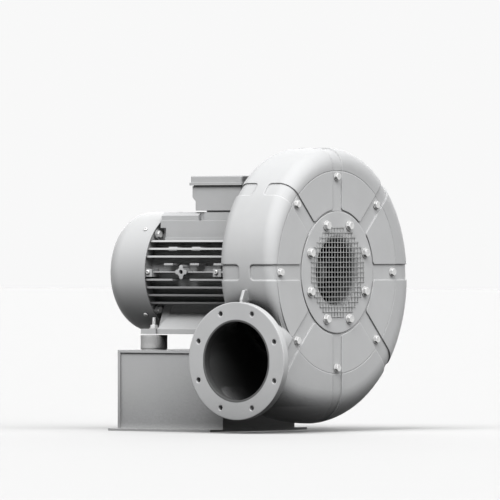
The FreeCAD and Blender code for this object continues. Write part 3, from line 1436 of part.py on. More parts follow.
def foot_rail(name, side):
    """A rail of sloping flank between two flat pads; side is 1 or -1 along Y."""
    body = new_body(name)

    def outward(text):
        return "%d * (%s)" % (side, text)

    inner = "foot_half_width - foot_pad_width / 2"
    outer_end = inner + " + foot_rib_width"
    pad(body, "YZ_Plane", "foot_rear + foot_pad_length / 2", "foot_front - foot_rear - foot_pad_length", [[
        (outward("foot_seat_inner"), "-foot_seat_top"),
        (outward("foot_flank_inner"), "-foot_seat_top"),
        (outward("foot_flank_inner + 4"), "-foot_flank_top"),
        (outward("foot_flank_outer"), PAD_TOP),
        (outward("foot_flank_outer"), SOLE),
        (outward(inner + " + 6"), SOLE),
        (outward(inner + " + 6"), PAD_TOP + " + 4"),
        (outward("foot_seat_inner"), "-foot_flank_top - 6"),
    ]])
    for start, length in (("foot_rib_rear", "foot_rear + foot_pad_length / 2 - foot_rib_rear"),
                          ("foot_front - foot_pad_length / 2", "foot_pad_length")):
        pad(body, "YZ_Plane", start, length, [[
            (outward("foot_seat_inner"), "-foot_seat_top"),
            (outward("foot_flank_inner"), "-foot_seat_top"),
            (outward(outer_end), PAD_TOP),
            (outward(outer_end), SOLE),
            (outward(inner), SOLE),
            (outward("foot_seat_inner"), "-foot_flank_top - 14"),
        ]])
    for place in ("foot_rear", "foot_front"):
        pad(body, "XY_Plane", SOLE, "foot_thickness",
            [box_loop(place + " - foot_pad_length / 2", place + " + foot_pad_length / 2",
                      outward(inner), outward("foot_half_width + foot_pad_width / 2"))])
        cut(body, "XY_Plane", SOLE + " - 1", "foot_thickness + 2",
            [(place, outward("foot_half_width"), "foot_hole / 2")])
    turn_away(body, box_loop("foot_rear - foot_pad_length", "foot_front + foot_pad_length", "0",
                             "frame_core_radius + joint_gap"))
    return body


foot_rail("outlet_side_foot", -1)
foot_rail("far_side_foot", 1)

# Rubber buffers with their plates and studs, and the nuts above and below them

BUFFER_HEIGHT = "(shaft_height - foot_drop - console_height)"
BUFFER_PLACES = [(along, across) for along in ("foot_rear", "foot_front")
                 for across in ("-foot_half_width", "foot_half_width")]


def on_buffers(name, up, steps):
    """Discs or hexagons stacked at the four buffers: (lift, height, radius or hexagon width)."""
    body = new_body(name, up)
    for lift, height, kind, size in steps:
        for along, across in BUFFER_PLACES:
            loop = (along, across, size) if kind == "round" else hexagon(along, across, size)
            pad(body, "XY_Plane", lift, height, [loop])
    return body


on_buffers("rubber_buffers", "console_height",
           [("buffer_plate", BUFFER_HEIGHT + " - 2 * buffer_plate", "round", "buffer_diameter / 2")])
on_buffers("buffer_lower_studs", "console_height", [
    ("0", "buffer_plate", "round", "buffer_diameter / 2 - 2"),
    ("-buffer_stud_drop", "buffer_stud_drop", "round", "buffer_stud / 2"),
])
on_buffers("buffer_upper_studs", "shaft_height - foot_drop", [
    ("-buffer_plate", "buffer_plate", "round", "buffer_diameter / 2 - 2"),
    ("0", "buffer_stud_rise", "round", "buffer_stud / 2"),
])


def stud_hardware(name, up, down, kind, size, height, offset):
    """Washers or nuts on the four studs, stacked up or down from a plate."""
    body = new_body(name, up)
    lift = "-(%s) - %s" % (offset, height) if down else offset
    for along, across in BUFFER_PLACES:
        ring = (along, across, "buffer_stud / 2")
        outer = (along, across, size + " / 2") if kind == "washer" else hexagon(along, across, size)
        pad(body, "XY_Plane", lift, height, [outer, ring])
    return body


FOOT_TOP = "shaft_height - foot_drop + foot_thickness"
stud_hardware("foot_washers", FOOT_TOP, False, "washer", "nut_washer", "nut_washer_thickness", "0")
stud_hardware("foot_nuts", FOOT_TOP, False, "nut", "nut_width", "nut_height", "nut_washer_thickness")
stud_hardware("console_washers", "console_height - console_top", True, "washer", "nut_washer",
              "nut_washer_thickness", "0")
stud_hardware("console_nuts", "console_height - console_top", True, "nut", "nut_width", "nut_height",
              "nut_washer_thickness")

# Console: a top plate, two folded sides with floor flanges and two end plates

console_top = new_body("console_top", "console_height - console_top")
pad(console_top, "XY_Plane", "0", "console_top",
    [box_loop("-console_length / 2", "console_length / 2", "-console_width / 2", "console_width / 2")]
    + [(along, across, "buffer_stud / 2 + 2 * joint_gap") for along, across in BUFFER_PLACES])

SIDE_FACE = "(console_width / 2 - console_overhang)"
for name, side in (("console_outlet_side", -1), ("console_far_side", 1)):
    panel = new_body(name, "0")
    pad(panel, "YZ_Plane", "-console_length / 2 + console_end_plate",
        "console_length - console_end_plate - console_overhang", [[
            ("%d * (%s - console_plate)" % (side, SIDE_FACE), "0"),
            ("%d * (%s - console_plate)" % (side, SIDE_FACE), "console_height - console_top"),
            ("%d * %s" % (side, SIDE_FACE), "console_height - console_top"),
            ("%d * %s" % (side, SIDE_FACE), "floor_flange_thickness"),
            ("%d * (console_width / 2 + floor_flange)" % side, "floor_flange_thickness"),
            ("%d * (console_width / 2 + floor_flange)" % side, "0"),
        ]])
    for along in ("-floor_hole_spacing_along / 2", "floor_hole_spacing_along / 2"):
        cut(panel, "XY_Plane", "-1", "floor_flange_thickness + 2",
            [(along, "%d * floor_hole_spacing_across / 2" % side, "floor_hole / 2")])

console_motor_end = new_body("console_motor_end", "0")
pad(console_motor_end, "YZ_Plane", "-console_length / 2", "console_end_plate",
    [box_loop("-console_width / 2", "console_width / 2", "0", "console_height - console_top")])

console_casing_end = new_body("console_casing_end", "0")
pad(console_casing_end, "YZ_Plane", "console_length / 2 - console_overhang - console_plate", "console_plate",
    [box_loop("-%s + console_plate" % SIDE_FACE, "%s - console_plate" % SIDE_FACE, "0",
              "console_height - console_top")])

doc.recompute()

for item in doc.Objects:
    if "Invalid" in item.State or "Error" in item.State:
        raise RuntimeError("%s failed: %s" % (item.Label, item.State))
for piece in pieces:
    if piece.Shape.isNull() or not piece.Shape.isValid() or not piece.Shape.Solids:
        raise RuntimeError("%s has no valid solid" % piece.Label)

os.makedirs("parts", exist_ok=True)
for piece in pieces:
    piece.Shape.exportStep(os.path.join("parts", piece.Label + ".step"))
print("%d pieces" % len(pieces))
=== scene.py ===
import json
import math

import bmesh
import bpy
from mathutils import Matrix, Vector


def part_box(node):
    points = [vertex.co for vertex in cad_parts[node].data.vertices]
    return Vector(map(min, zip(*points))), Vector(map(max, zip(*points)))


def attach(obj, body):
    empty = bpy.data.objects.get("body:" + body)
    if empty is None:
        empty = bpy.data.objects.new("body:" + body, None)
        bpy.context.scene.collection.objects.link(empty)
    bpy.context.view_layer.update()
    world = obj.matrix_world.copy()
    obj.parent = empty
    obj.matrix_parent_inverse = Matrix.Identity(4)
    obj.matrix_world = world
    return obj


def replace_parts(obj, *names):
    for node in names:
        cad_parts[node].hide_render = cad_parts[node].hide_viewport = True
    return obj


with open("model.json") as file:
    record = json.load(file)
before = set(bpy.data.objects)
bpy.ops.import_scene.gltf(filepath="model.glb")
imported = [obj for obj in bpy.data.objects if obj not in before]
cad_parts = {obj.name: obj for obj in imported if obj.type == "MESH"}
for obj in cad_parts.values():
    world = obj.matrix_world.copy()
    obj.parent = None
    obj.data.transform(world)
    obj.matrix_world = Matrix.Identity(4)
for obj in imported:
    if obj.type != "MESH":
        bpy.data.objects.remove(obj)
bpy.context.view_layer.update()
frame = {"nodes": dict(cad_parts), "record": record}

bl_info = {
    "name": "High pressure fan",
    "version": (1, 0, 0),
    "blender": (4, 5, 0),
    "location": "3D View > Sidebar > Fan",
    "description": "Finishes of a radial fan on its motor and console, with its screws, guard and buffers",
    "category": "Object",
}

RING_LOW, RING_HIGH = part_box("inlet_ring")
AXIS_HEIGHT = (RING_LOW[2] + RING_HIGH[2]) / 2
FRONT = RING_HIGH[0]
RING_RISE = 0.0035
PANEL_FLOOR = FRONT - RING_RISE
THROAT_RADIUS = 0.082
SHIELD_CIRCLE = 0.138

# The outlet duct: its middle along the shaft, how far it lies under the shaft, and the radius of its round
# mouth. Its side walls stand at the half width at the root, and move out by the widening up to the flange.
# The root's roof and floor are heights over the duct's middle. The root and the flange are places across the
# shaft
DUCT_MIDDLE = 0.3285
DUCT_DROP = 0.225
DUCT_RADIUS = 0.1
DUCT_HALF_WIDTH = 0.0835
DUCT_WIDENING = 0.021
DUCT_ROOF = 0.152
DUCT_FLOOR = -0.115
DUCT_ROOT = -0.15
DUCT_FLANGE = -0.299

# How far a finish looks for neighbours that hide the sky: within a narrow channel, and over the whole fan
CHANNEL_REACH = 0.03
WIDE_REACH = 0.3
# Near black, painted as shade deep inside the fan where little light reaches
PAINTED_SHADE_BLACK = (0.02, 0.02, 0.02, 1.0)

# Where the lights stand, seen from the fan
KEY_TOWARDS = (0.05, -0.60, 0.80)
FILL_TOWARDS = (0.76, -0.15, 0.67)
BACK_TOWARDS = (-0.5, 0.85, 0.2)


# Shader maths

class Field:
    """A value or colour that runs through a finish, with the usual operators for its maths."""

    def __init__(self, finish, socket):
        self.finish = finish
        self.socket = socket

    def maths(self, operation, *others):
        return self.finish.add("ShaderNodeMath", {"operation": operation}, (self, *others))

    def __add__(self, other):
        return self.maths("ADD", other)

    __radd__ = __add__

    def __sub__(self, other):
        return self.maths("SUBTRACT", other)

    def __mul__(self, other):
        return self.maths("MULTIPLY", other)

    def __pow__(self, other):
        return self.maths("POWER", other)

    def __abs__(self):
        return self.maths("ABSOLUTE")

    def highest(self, other):
        return self.maths("MAXIMUM", other)

    def stretched(self, low, high, to_low=0.0, to_high=1.0):
        """The value moved from one range to another, and kept inside it."""
        return self.finish.add("ShaderNodeMapRange", {"clamp": True}, {
            "Value": self, "From Min": low, "From Max": high, "To Min": to_low, "To Max": to_high})


class Finish:
    """One material: a surface shader, and the nodes that vary it."""

    def __init__(self, name, **constants):
        self.material = bpy.data.materials.new(name)
        self.material.use_nodes = True
        self.tree = self.material.node_tree
        self.surface = self.tree.nodes["Principled BSDF"]
        self.place = self.add("ShaderNodeTexCoord", {}, {}, "Object")
        for socket, value in constants.items():
            self.surface.inputs[socket.replace("_", " ")].default_value = value

    def add(self, kind, settings, inputs, output=0):
        """A node of a kind with its settings, then its inputs as values or fields."""
        node = self.tree.nodes.new(kind)
        for setting, value in settings.items():
            setattr(node, setting, value)
        pairs = inputs.items() if isinstance(inputs, dict) else enumerate(inputs)
        for socket, value in pairs:
            if isinstance(value, Field):
                self.tree.links.new(value.socket, node.inputs[socket])
            else:
                node.inputs[socket].default_value = value
        return Field(self, node.outputs[output])

    def noise(self, scale, detail=3.0, roughness=0.5, stretch=None):
        """Soft noise between 0 and 1 on the piece's own coordinates."""
        place = self.place
        if stretch:
            place = self.add("ShaderNodeMapping", {}, {"Vector": place, "Scale": stretch})
        return self.add("ShaderNodeTexNoise", {}, {
            "Vector": place, "Scale": scale, "Detail": detail, "Roughness": roughness}, "Fac")

    def blend(self, factor, first, second):
        """A colour between two others, by the colour sockets of the Mix node."""
        return self.add("ShaderNodeMix", {"data_type": "RGBA"}, {0: factor, 6: first, 7: second}, 2)

    def rounded(self, radius):
        """The surface's direction with its sharp edges rounded off."""
        return self.add("ShaderNodeBevel", {"samples": 6}, {"Radius": radius}, "Normal")

    def shaft_place(self):
        """The place along the shaft, across it and above it, as three fields."""
        parts = self.add("ShaderNodeSeparateXYZ", {}, {"Vector": self.place})
        along, across, up = (Field(self, socket) for socket in parts.socket.node.outputs)
        return along, across, up - AXIS_HEIGHT

    def edge(self, rounded):
        """Near 1 along sharp edges and 0 on the open surface."""
        flat = self.add("ShaderNodeNewGeometry", {}, {}, "Normal")
        likeness = self.add("ShaderNodeVectorMath", {"operation": "DOT_PRODUCT"}, (rounded, flat), "Value")
        return likeness.stretched(0.995, 0.93)

    def underside_shade(self, rounded):
        """Near 1 on surfaces that face down, where shade is painted on the underside."""
        parts = self.add("ShaderNodeSeparateXYZ", {}, {"Vector": rounded})
        return Field(self, parts.socket.node.outputs["Z"]).stretched(-0.15, -0.85)

    def hollows(self, reach, open_share=0.85, shut_share=0.25):
        """Near 1 deep in corners and gaps, 0 on open faces."""
        open_sky = self.add("ShaderNodeAmbientOcclusion", {"samples": 6}, {"Distance": reach}, "AO")
        return open_sky.stretched(open_share, shut_share)

    # The mask of painted shade where large neighbours hide the sky
    def shelter_shade(self, shut_share):
        """Near 1 where large neighbours hide the sky, 0 on open faces and in narrow channels."""
        return self.hollows(WIDE_REACH, 0.76, shut_share) * self.hollows(CHANNEL_REACH, 0.3, 0.75)

    def feed(self, socket, value):
        self.tree.links.new(value.socket, self.surface.inputs[socket])

    def bump(self, height, strength, distance, normal=None):
        inputs = {"Height": height, "Strength": strength, "Distance": distance}
        if normal:
            inputs["Normal"] = normal
        return self.add("ShaderNodeBump", {}, inputs, "Normal")


def shade(colour, factor):
    """A colour made lighter or darker, with its alpha kept."""
    return (*[min(1.0, channel * factor) for channel in colour[:3]], 1.0)


def tinted(colour, red, green, blue):
    return (colour[0] * red, colour[1] * green, colour[2] * blue, 1.0)


# Finishes

# Masks for the painted near-black shade inside the outlet duct and inside the inlet's throat
def duct_bore(finish):
    """1 on the wall inside the outlet duct, which widens towards its flange, and 0 elsewhere."""
    along, across, up = finish.shaft_place()
    aside = abs(along - DUCT_MIDDLE)
    height = up + DUCT_DROP
    radius = (aside * aside + height * height) ** 0.5
    share = across.stretched(DUCT_ROOT, DUCT_FLANGE)
    wall_middle = DUCT_HALF_WIDTH + share * share * DUCT_WIDENING
    between_walls = (wall_middle - aside).stretched(-0.0005, 0.0005)
    mouth = radius.stretched(DUCT_RADIUS + 0.006, DUCT_RADIUS + 0.0045)
    below_roof = height.stretched(DUCT_ROOF + 0.004, DUCT_ROOF)
    above_floor = height.stretched(DUCT_FLOOR - 0.004, DUCT_FLOOR)
    behind_flange = across.stretched(DUCT_FLANGE + 0.014, DUCT_FLANGE + 0.029)
    inside = finish.hollows(WIDE_REACH, open_share=0.5, shut_share=0.35)
    root = below_roof * above_floor * inside * behind_flange
    return mouth.highest(root) * between_walls * across.stretched(-0.06, -0.14)


def inlet_throat(finish):
    """1 on the wall of the inlet's throat and 0 elsewhere."""
    along, across, up = finish.shaft_place()
    radius = (across * across + up * up) ** 0.5
    near_wall = radius.stretched(THROAT_RADIUS + 0.006, THROAT_RADIUS + 0.0005)
    return near_wall * along.stretched(FRONT - 0.004, FRONT - 0.04)


def cast_paint(name, colour, grain, edge_radius, wear, opening=None):
    """Sprayed paint on a sand cast skin: fine orange peel, soft lumps, painted shade in corners and inside.
    """
    finish = Finish(name, Metallic=0.0, Specular_IOR_Level=0.14)
    rounded = finish.rounded(edge_radius)
    # Masks for painted shade: tight corners, deep holes, and places that large neighbours hide from the sky
    corner_shade = finish.hollows(0.008, open_share=0.75, shut_share=0.2)
    hole_shade = finish.hollows(CHANNEL_REACH, open_share=0.25, shut_share=0.07)
    shelter_shade = finish.shelter_shade(0.26).highest(hole_shade)
    skin = finish.noise(grain, detail=6.0, roughness=0.62)
    lumps = finish.noise(26.0)
    clouds = finish.noise(6.5, detail=4.0, roughness=0.6)
    streaks = finish.noise(14.0, detail=4.0, roughness=0.55, stretch=(1.0, 1.0, 0.16))
    body = finish.blend(clouds.stretched(0.32, 0.7), shade(colour, 0.955), shade(colour, 1.035))
    body = finish.blend(streaks.stretched(0.56, 0.8, 0.0, 0.35), body, tinted(colour, 0.93, 0.925, 0.91))
    # Painted shade: darker in tight corners
    body = finish.blend(corner_shade * 0.3, body, tinted(colour, 0.55, 0.54, 0.52))
    scuffs = finish.noise(90.0, detail=4.0, roughness=0.7).stretched(0.3, 0.6, 0.45, 1.0)
    body = finish.blend(finish.edge(rounded) * scuffs * wear, body, shade(colour, 1.6))
    # Painted shade: darker on surfaces that face down, and near black where large neighbours hide the sky
    body = finish.blend(finish.underside_shade(rounded) * 0.6, body, shade(colour, 0.3))
    body = finish.blend(shelter_shade * 0.9, body, shade(colour, 0.06))
    # Painted shade: the inside of the opening near black
    if opening:
        body = finish.blend(opening(finish) * 0.82, body, PAINTED_SHADE_BLACK)
    finish.feed("Base Color", body)
    finish.feed("Roughness", 0.44 + clouds * 0.1 + corner_shade * 0.2 + skin * 0.08)
    relief = finish.bump(lumps * 0.6 + skin * 0.4, strength=0.16, distance=0.0012, normal=rounded)
    finish.feed("Normal", finish.bump(skin, strength=0.1, distance=0.0004, normal=relief))
    return finish.material


def sheet_paint(name, colour, edge_radius, wear):
    """Powder coat or enamel on sheet steel: even peel, light dust, rubbed edges and painted shade in
    corners.
    """
    finish = Finish(name, Metallic=0.0, Specular_IOR_Level=0.16)
    rounded = finish.rounded(edge_radius)
    corner_shade = finish.hollows(0.025)
    peel = finish.add("ShaderNodeTexVoronoi", {"feature": "SMOOTH_F1"}, {
        "Vector": finish.place, "Scale": 520.0}, "Distance")
    waves = finish.noise(3.2, detail=2.0)
    dust = finish.noise(11.0, detail=5.0, roughness=0.65)
    body = finish.blend(waves.stretched(0.35, 0.65), shade(colour, 0.97), shade(colour, 1.03))
    body = finish.blend(dust.stretched(0.5, 0.78, 0.0, 0.3), body, tinted(colour, 1.04, 1.03, 1.0))
    # Painted shade: darker in corners and on surfaces that face down, and near black where large neighbours
    # hide the sky
    body = finish.blend(corner_shade * 0.5, body, tinted(colour, 0.6, 0.59, 0.57))
    body = finish.blend(finish.underside_shade(rounded) * 0.6, body, shade(colour, 0.3))
    body = finish.blend(finish.shelter_shade(0.3) * 0.92, body, shade(colour, 0.05))
    rub = finish.noise(60.0, detail=5.0, roughness=0.7).stretched(0.5, 0.66)
    body = finish.blend(finish.edge(rounded) * rub * wear, body, shade(colour, 1.3))
    finish.feed("Base Color", body)
    finish.feed("Roughness", 0.34 + dust * 0.16 + corner_shade * 0.15)
    relief = finish.bump(waves, strength=0.2, distance=0.004, normal=rounded)
    finish.feed("Normal", finish.bump(peel, strength=0.07, distance=0.0003, normal=relief))
    return finish.material


def plated_steel(name, colour, roughness, edge_radius):
    """Zinc plated steel: patchy sheen, fine scratches, painted edge highlights, painted shade in corners and
    inside.
    """
    finish = Finish(name, Metallic=0.3)
    rounded = finish.rounded(edge_radius)
    corner_shade = finish.hollows(0.009, open_share=0.72, shut_share=0.3)
    bloom = finish.noise(160.0, detail=4.0, roughness=0.6)
    scratches = finish.noise(420.0, roughness=0.7, stretch=(1.0, 0.2, 1.0))
    body = finish.blend(bloom.stretched(0.38, 0.66), shade(colour, 0.86), tinted(colour, 1.05, 1.05, 1.04))
    # Painted highlight along every edge
    body = finish.blend(finish.edge(rounded) * 0.8, body, (0.95, 0.95, 0.95, 1.0))
    # Painted shade: darker in corners and on surfaces that face down
    body = finish.blend(corner_shade * 0.85, body, shade(colour, 0.2))
    body = finish.blend(finish.underside_shade(rounded) * 0.9, body, shade(colour, 0.08))
    # Painted shade: near black on the parts deep inside the inlet, round the shaft
    along, across, up = finish.shaft_place()
    near_shaft = (across * across + up * up).stretched(0.06 ** 2, 0.05 ** 2)
    inside = near_shaft * along.stretched(FRONT - 0.01, FRONT - 0.02)
    body = finish.blend(inside * 0.95, body, PAINTED_SHADE_BLACK)
    finish.feed("Base Color", body)
    finish.feed("Roughness", roughness + bloom * 0.18 + corner_shade * 0.2)
    finish.feed("Normal", finish.bump(scratches, strength=0.08, distance=0.0002, normal=rounded))
    return finish.material


def turned_metal(name, colour, roughness, ring_scale):
    """Bare turned or rolled metal with fine rings round the shaft, and painted shade deep inside the fan."""
    finish = Finish(name, Metallic=1.0)
    from_shaft = finish.add("ShaderNodeMapping", {}, {
        "Vector": finish.place, "Location": (0.0, 0.0, -AXIS_HEIGHT)})
    rings = finish.add("ShaderNodeTexWave", {"wave_type": "RINGS", "rings_direction": "X"}, {
        "Vector": from_shaft, "Scale": ring_scale, "Distortion": 0.6, "Detail": 2.0}, "Fac")
    stain = finish.noise(34.0, detail=5.0, roughness=0.6)
    body = finish.blend(stain.stretched(0.35, 0.7), shade(colour, 0.8), shade(colour, 1.08))
    # Painted shade: near black where the metal lies deep inside the fan
    inside = finish.hollows(0.2, open_share=0.95, shut_share=0.55)
    body = finish.blend(inside * 0.95, body, PAINTED_SHADE_BLACK)
    finish.feed("Base Color", body)
    finish.feed("Roughness", roughness + stain * 0.18)
    finish.feed("Normal", finish.bump(rings, strength=0.08, distance=0.0002, normal=finish.rounded(0.0006)))
    return finish.material


def moulded_rubber(name, colour):
    """Matt rubber with a fine mould texture, a pale bloom, and painted shade in corners and under large
    neighbours.
    """
    finish = Finish(name, Metallic=0.0, Specular_IOR_Level=0.3)
    grain = finish.noise(700.0, detail=4.0, roughness=0.6)
    bloom = finish.noise(30.0, detail=5.0, roughness=0.65)
    body = finish.blend(bloom.stretched(0.4, 0.72), shade(colour, 0.88), shade(colour, 1.12))
    # Painted shade: darker in corners, and near black where large neighbours hide the sky
    body = finish.blend(finish.hollows(0.012) * 0.6, body, shade(colour, 0.55))
    shelter_shade = finish.hollows(WIDE_REACH, open_share=0.74, shut_share=0.45)
    body = finish.blend(shelter_shade * 0.95, body, PAINTED_SHADE_BLACK)
    finish.feed("Base Color", body)
    finish.feed("Roughness", 0.62 + bloom * 0.2)
    finish.feed("Normal", finish.bump(grain, strength=0.2, distance=0.0003))
    return finish.material


def moulded_plastic(name, colour, roughness):
    """Moulded plastic with a fine spark texture."""
    finish = Finish(name, Metallic=0.0)
    grain = finish.noise(900.0, roughness=0.6)
    patches = finish.noise(22.0, detail=4.0, roughness=0.6)
    body = finish.blend(patches.stretched(0.35, 0.7), shade(colour, 0.85), shade(colour, 1.2))
    finish.feed("Base Color", body)
    finish.feed("Roughness", roughness + patches * 0.15)
    finish.feed("Normal", finish.bump(grain, strength=0.15, distance=0.0002, normal=finish.rounded(0.0006)))
    return finish.material


def wound_copper(name, colour):
    """Varnished winding heads: bundles of wire round the shaft."""
    finish = Finish(name, Metallic=0.7)
    wires = finish.add("ShaderNodeTexWave", {"bands_direction": "X"}, {
        "Vector": finish.place, "Scale": 220.0, "Distortion": 5.0, "Detail": 2.0}, "Fac")
    tone = finish.noise(70.0, detail=4.0, roughness=0.6)
    finish.feed("Base Color", finish.blend(wires * tone, shade(colour, 0.5), shade(colour, 1.3)))
    finish.feed("Roughness", 0.3 + tone * 0.25)
    finish.feed("Normal", finish.bump(wires, strength=0.4, distance=0.0006))
    return finish.material


def show_to_eye(tree, unseen, seen, output):
    """Ends a node tree in one shader for straight, mirrored and passed rays, and one for all other light."""
    rays = tree.nodes.new("ShaderNodeLightPath")
    share = rays.outputs["Is Camera Ray"]
    for kind in ("Is Glossy Ray", "Is Transmission Ray"):
        highest = tree.nodes.new("ShaderNodeMath")
        highest.operation = "MAXIMUM"
        tree.links.new(share, highest.inputs[0])
        tree.links.new(rays.outputs[kind], highest.inputs[1])
        share = highest.outputs["Value"]
    mix = tree.nodes.new("ShaderNodeMixShader")
    tree.links.new(share, mix.inputs["Fac"])
    tree.links.new(unseen, mix.inputs[1])
    tree.links.new(seen, mix.inputs[2])
    tree.links.new(mix.outputs["Shader"], tree.nodes[output].inputs["Surface"])


def floor_paint(name, colour, echo):
    """A plain pale floor for the eye, which throws only a share of its light back at the object."""
    finish = Finish(name, Roughness=0.85, Specular_IOR_Level=0.1)
    speckle = finish.noise(3.0)
    finish.feed("Base Color", finish.blend(speckle, shade(colour, 0.99), shade(colour, 1.0)))
    dim = finish.tree.nodes.new("ShaderNodeBsdfDiffuse")
    dim.inputs["Color"].default_value = shade(colour, echo)
    show_to_eye(finish.tree, dim.outputs["BSDF"], finish.surface.outputs["BSDF"], "Material Output")
    return finish.material


FINISHES = {}


def make_finishes():
    paints = bpy.context.scene.fan_paints
    FINISHES.update({
        "casing_paint": cast_paint("casing_paint", paints.casing, grain=420.0, edge_radius=0.0050, wear=0.5,
                                   opening=duct_bore),
        "cover_paint": cast_paint("cover_paint", paints.cover, grain=520.0, edge_radius=0.0036, wear=0.5,
                                  opening=inlet_throat),
        "motor_paint": cast_paint("motor_paint", paints.motor, grain=640.0, edge_radius=0.0010, wear=0.6),
        "cowl_paint": sheet_paint("cowl_paint", paints.motor, edge_radius=0.0012, wear=0.5),
        "console_paint": sheet_paint("console_paint", paints.console, edge_radius=0.0012, wear=0.7),
        "zinc_fastener": plated_steel("zinc_fastener", (0.72, 0.72, 0.72, 1.0), roughness=0.22,
                                      edge_radius=0.0010),
        "guard_wire": plated_steel("guard_wire", (0.46, 0.465, 0.465, 1.0), roughness=0.4,
                                   edge_radius=0.0003),
        "wheel_aluminium": turned_metal("wheel_aluminium", (0.34, 0.345, 0.35, 1.0), roughness=0.36,
                                        ring_scale=60.0),
        "bare_steel": turned_metal("bare_steel", (0.42, 0.42, 0.43, 1.0), roughness=0.24, ring_scale=200.0),
        "core_steel": turned_metal("core_steel", (0.26, 0.26, 0.27, 1.0), roughness=0.42, ring_scale=300.0),
        "copper_winding": wound_copper("copper_winding", (0.55, 0.26, 0.11, 1.0)),
        "buffer_rubber": moulded_rubber("buffer_rubber", paints.rubber),
        "black_plastic": moulded_plastic("black_plastic", (0.045, 0.045, 0.05, 1.0), roughness=0.42),
        "fan_plastic": moulded_plastic("fan_plastic", (0.07, 0.07, 0.075, 1.0), roughness=0.45),
        "gasket_fibre": moulded_rubber("gasket_fibre", (0.09, 0.09, 0.09, 1.0)),
        "terminal_brass": turned_metal("terminal_brass", (0.62, 0.45, 0.18, 1.0), roughness=0.28,
                                       ring_scale=300.0),
    })


# Meshes

def finished_object(name, mesh, slot, smooth_angle=35.0):
    """An object at the origin from a bmesh, with its finish, on the frame's root."""
    bmesh.ops.recalc_face_normals(mesh, faces=mesh.faces[:])
    data = bpy.data.meshes.new(name)
    mesh.to_mesh(data)
    mesh.free()
    data.shade_smooth()
    piece = bpy.data.objects.new(name, data)
    bpy.context.scene.collection.objects.link(piece)
    data.set_sharp_from_angle(angle=math.radians(smooth_angle))
    data.materials.append(FINISHES[slot])
    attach(piece, "root")
    return piece


def disc(mesh, radius, depth, matrix, segments, chamfer=0.0):
    """A round disc whose base lies at the matrix's origin and that grows along its Z."""
    made = bmesh.ops.create_cone(mesh, cap_ends=True, segments=segments, radius1=radius, radius2=radius,
                                 depth=depth, matrix=Matrix.Translation((0.0, 0.0, depth / 2)))
    if chamfer:
        soften_caps(mesh, made["verts"], chamfer, (0.0, depth))
    bmesh.ops.transform(mesh, matrix=matrix, verts=connected(made["verts"]))


def connected(verts):
    """All vertices of the islands that hold the given ones."""
    found = {vert for vert in verts if vert.is_valid}
    front = list(found)
    while front:
        vert = front.pop()
        for edge in vert.link_edges:
            other = edge.other_vert(vert)
            if other not in found:
                found.add(other)
                front.append(other)
    return list(found)


def soften_caps(mesh, verts, width, levels):
    """Rounds the rim edges of an upright disc at the given heights."""
    edges = {edge for vert in verts for edge in vert.link_edges
             if any(all(abs(end.co.z - level) < 1e-6 for end in edge.verts) for level in levels)}
    bmesh.ops.bevel(mesh, geom=list(edges), offset=width, offset_type="OFFSET", segments=2,
                    profile=0.5, affect="EDGES", material=-1)


def lifted(matrix, height):
    """The matrix moved along its own Z."""
    return matrix @ Matrix.Translation((0.0, 0.0, height))


def washer(mesh, inner, outer, depth, matrix):
    """A flat ring with a chamfered rim, spun from its section."""
    corners = [(inner, 0.0), (outer - depth * 0.15, 0.0), (outer, depth * 0.15), (outer, depth * 0.85),
               (outer - depth * 0.15, depth), (inner, depth)]
    spun(mesh, corners, matrix, 40)


def spun(mesh, corners, matrix, segments, closed=True):
    """A turned shape: the section, as (radius, height), spun round the matrix's Z axis."""
    verts = [mesh.verts.new((radius, 0.0, height)) for radius, height in corners]
    edges = [mesh.edges.new(pair) for pair in zip(verts, verts[1:])]
    if closed:
        edges.append(mesh.edges.new((verts[-1], verts[0])))
    made = bmesh.ops.spin(mesh, geom=verts + edges, cent=(0, 0, 0), axis=(0, 0, 1), angle=math.tau,
                          steps=segments, use_merge=True)
    island = connected([item for item in made["geom_last"] if isinstance(item, bmesh.types.BMVert)] or verts)
    bmesh.ops.remove_doubles(mesh, verts=island, dist=1e-7)
    bmesh.ops.transform(mesh, matrix=matrix, verts=[vert for vert in island if vert.is_valid])


def hex_head(mesh, width, depth, matrix, dimple=True):
    """A hexagon head with its turned chamfer, a drum cut by six flats, and a shallow dimple on a screw."""
    reach = width / 2 / math.cos(math.pi / 6)
    made = bmesh.ops.create_cone(mesh, cap_ends=True, segments=60, radius1=reach, radius2=reach, depth=depth,
                                 matrix=Matrix.Translation((0.0, 0.0, depth / 2)))
    soften_caps(mesh, made["verts"], reach * 0.2, (depth,))
    island = connected([vert for vert in made["verts"] if vert.is_valid])
    for index in range(6):
        angle = math.radians(60 * index + 30)
        normal = Vector((math.cos(angle), math.sin(angle), 0.0))
        geometry = island + list({edge for vert in island for edge in vert.link_edges})
        geometry += list({face for vert in island for face in vert.link_faces})
        cut = bmesh.ops.bisect_plane(mesh, geom=geometry, plane_co=normal * (width / 2), plane_no=normal,
                                     clear_outer=True)
        rim = [item for item in cut["geom_cut"] if isinstance(item, bmesh.types.BMEdge)]
        bmesh.ops.holes_fill(mesh, edges=rim, sides=0)
        island = connected([vert for vert in cut["geom_cut"] if isinstance(vert, bmesh.types.BMVert)])
    if dimple:
        top = max({face for vert in island for face in vert.link_faces},
                  key=lambda face: face.calc_center_median().z + face.calc_area())
        inset = bmesh.ops.inset_individual(mesh, faces=[top], thickness=width * 0.16, depth=-depth * 0.06)
        island = connected([vert for face in inset["faces"] for vert in face.verts] + island)
    bmesh.ops.transform(mesh, matrix=matrix, verts=island)


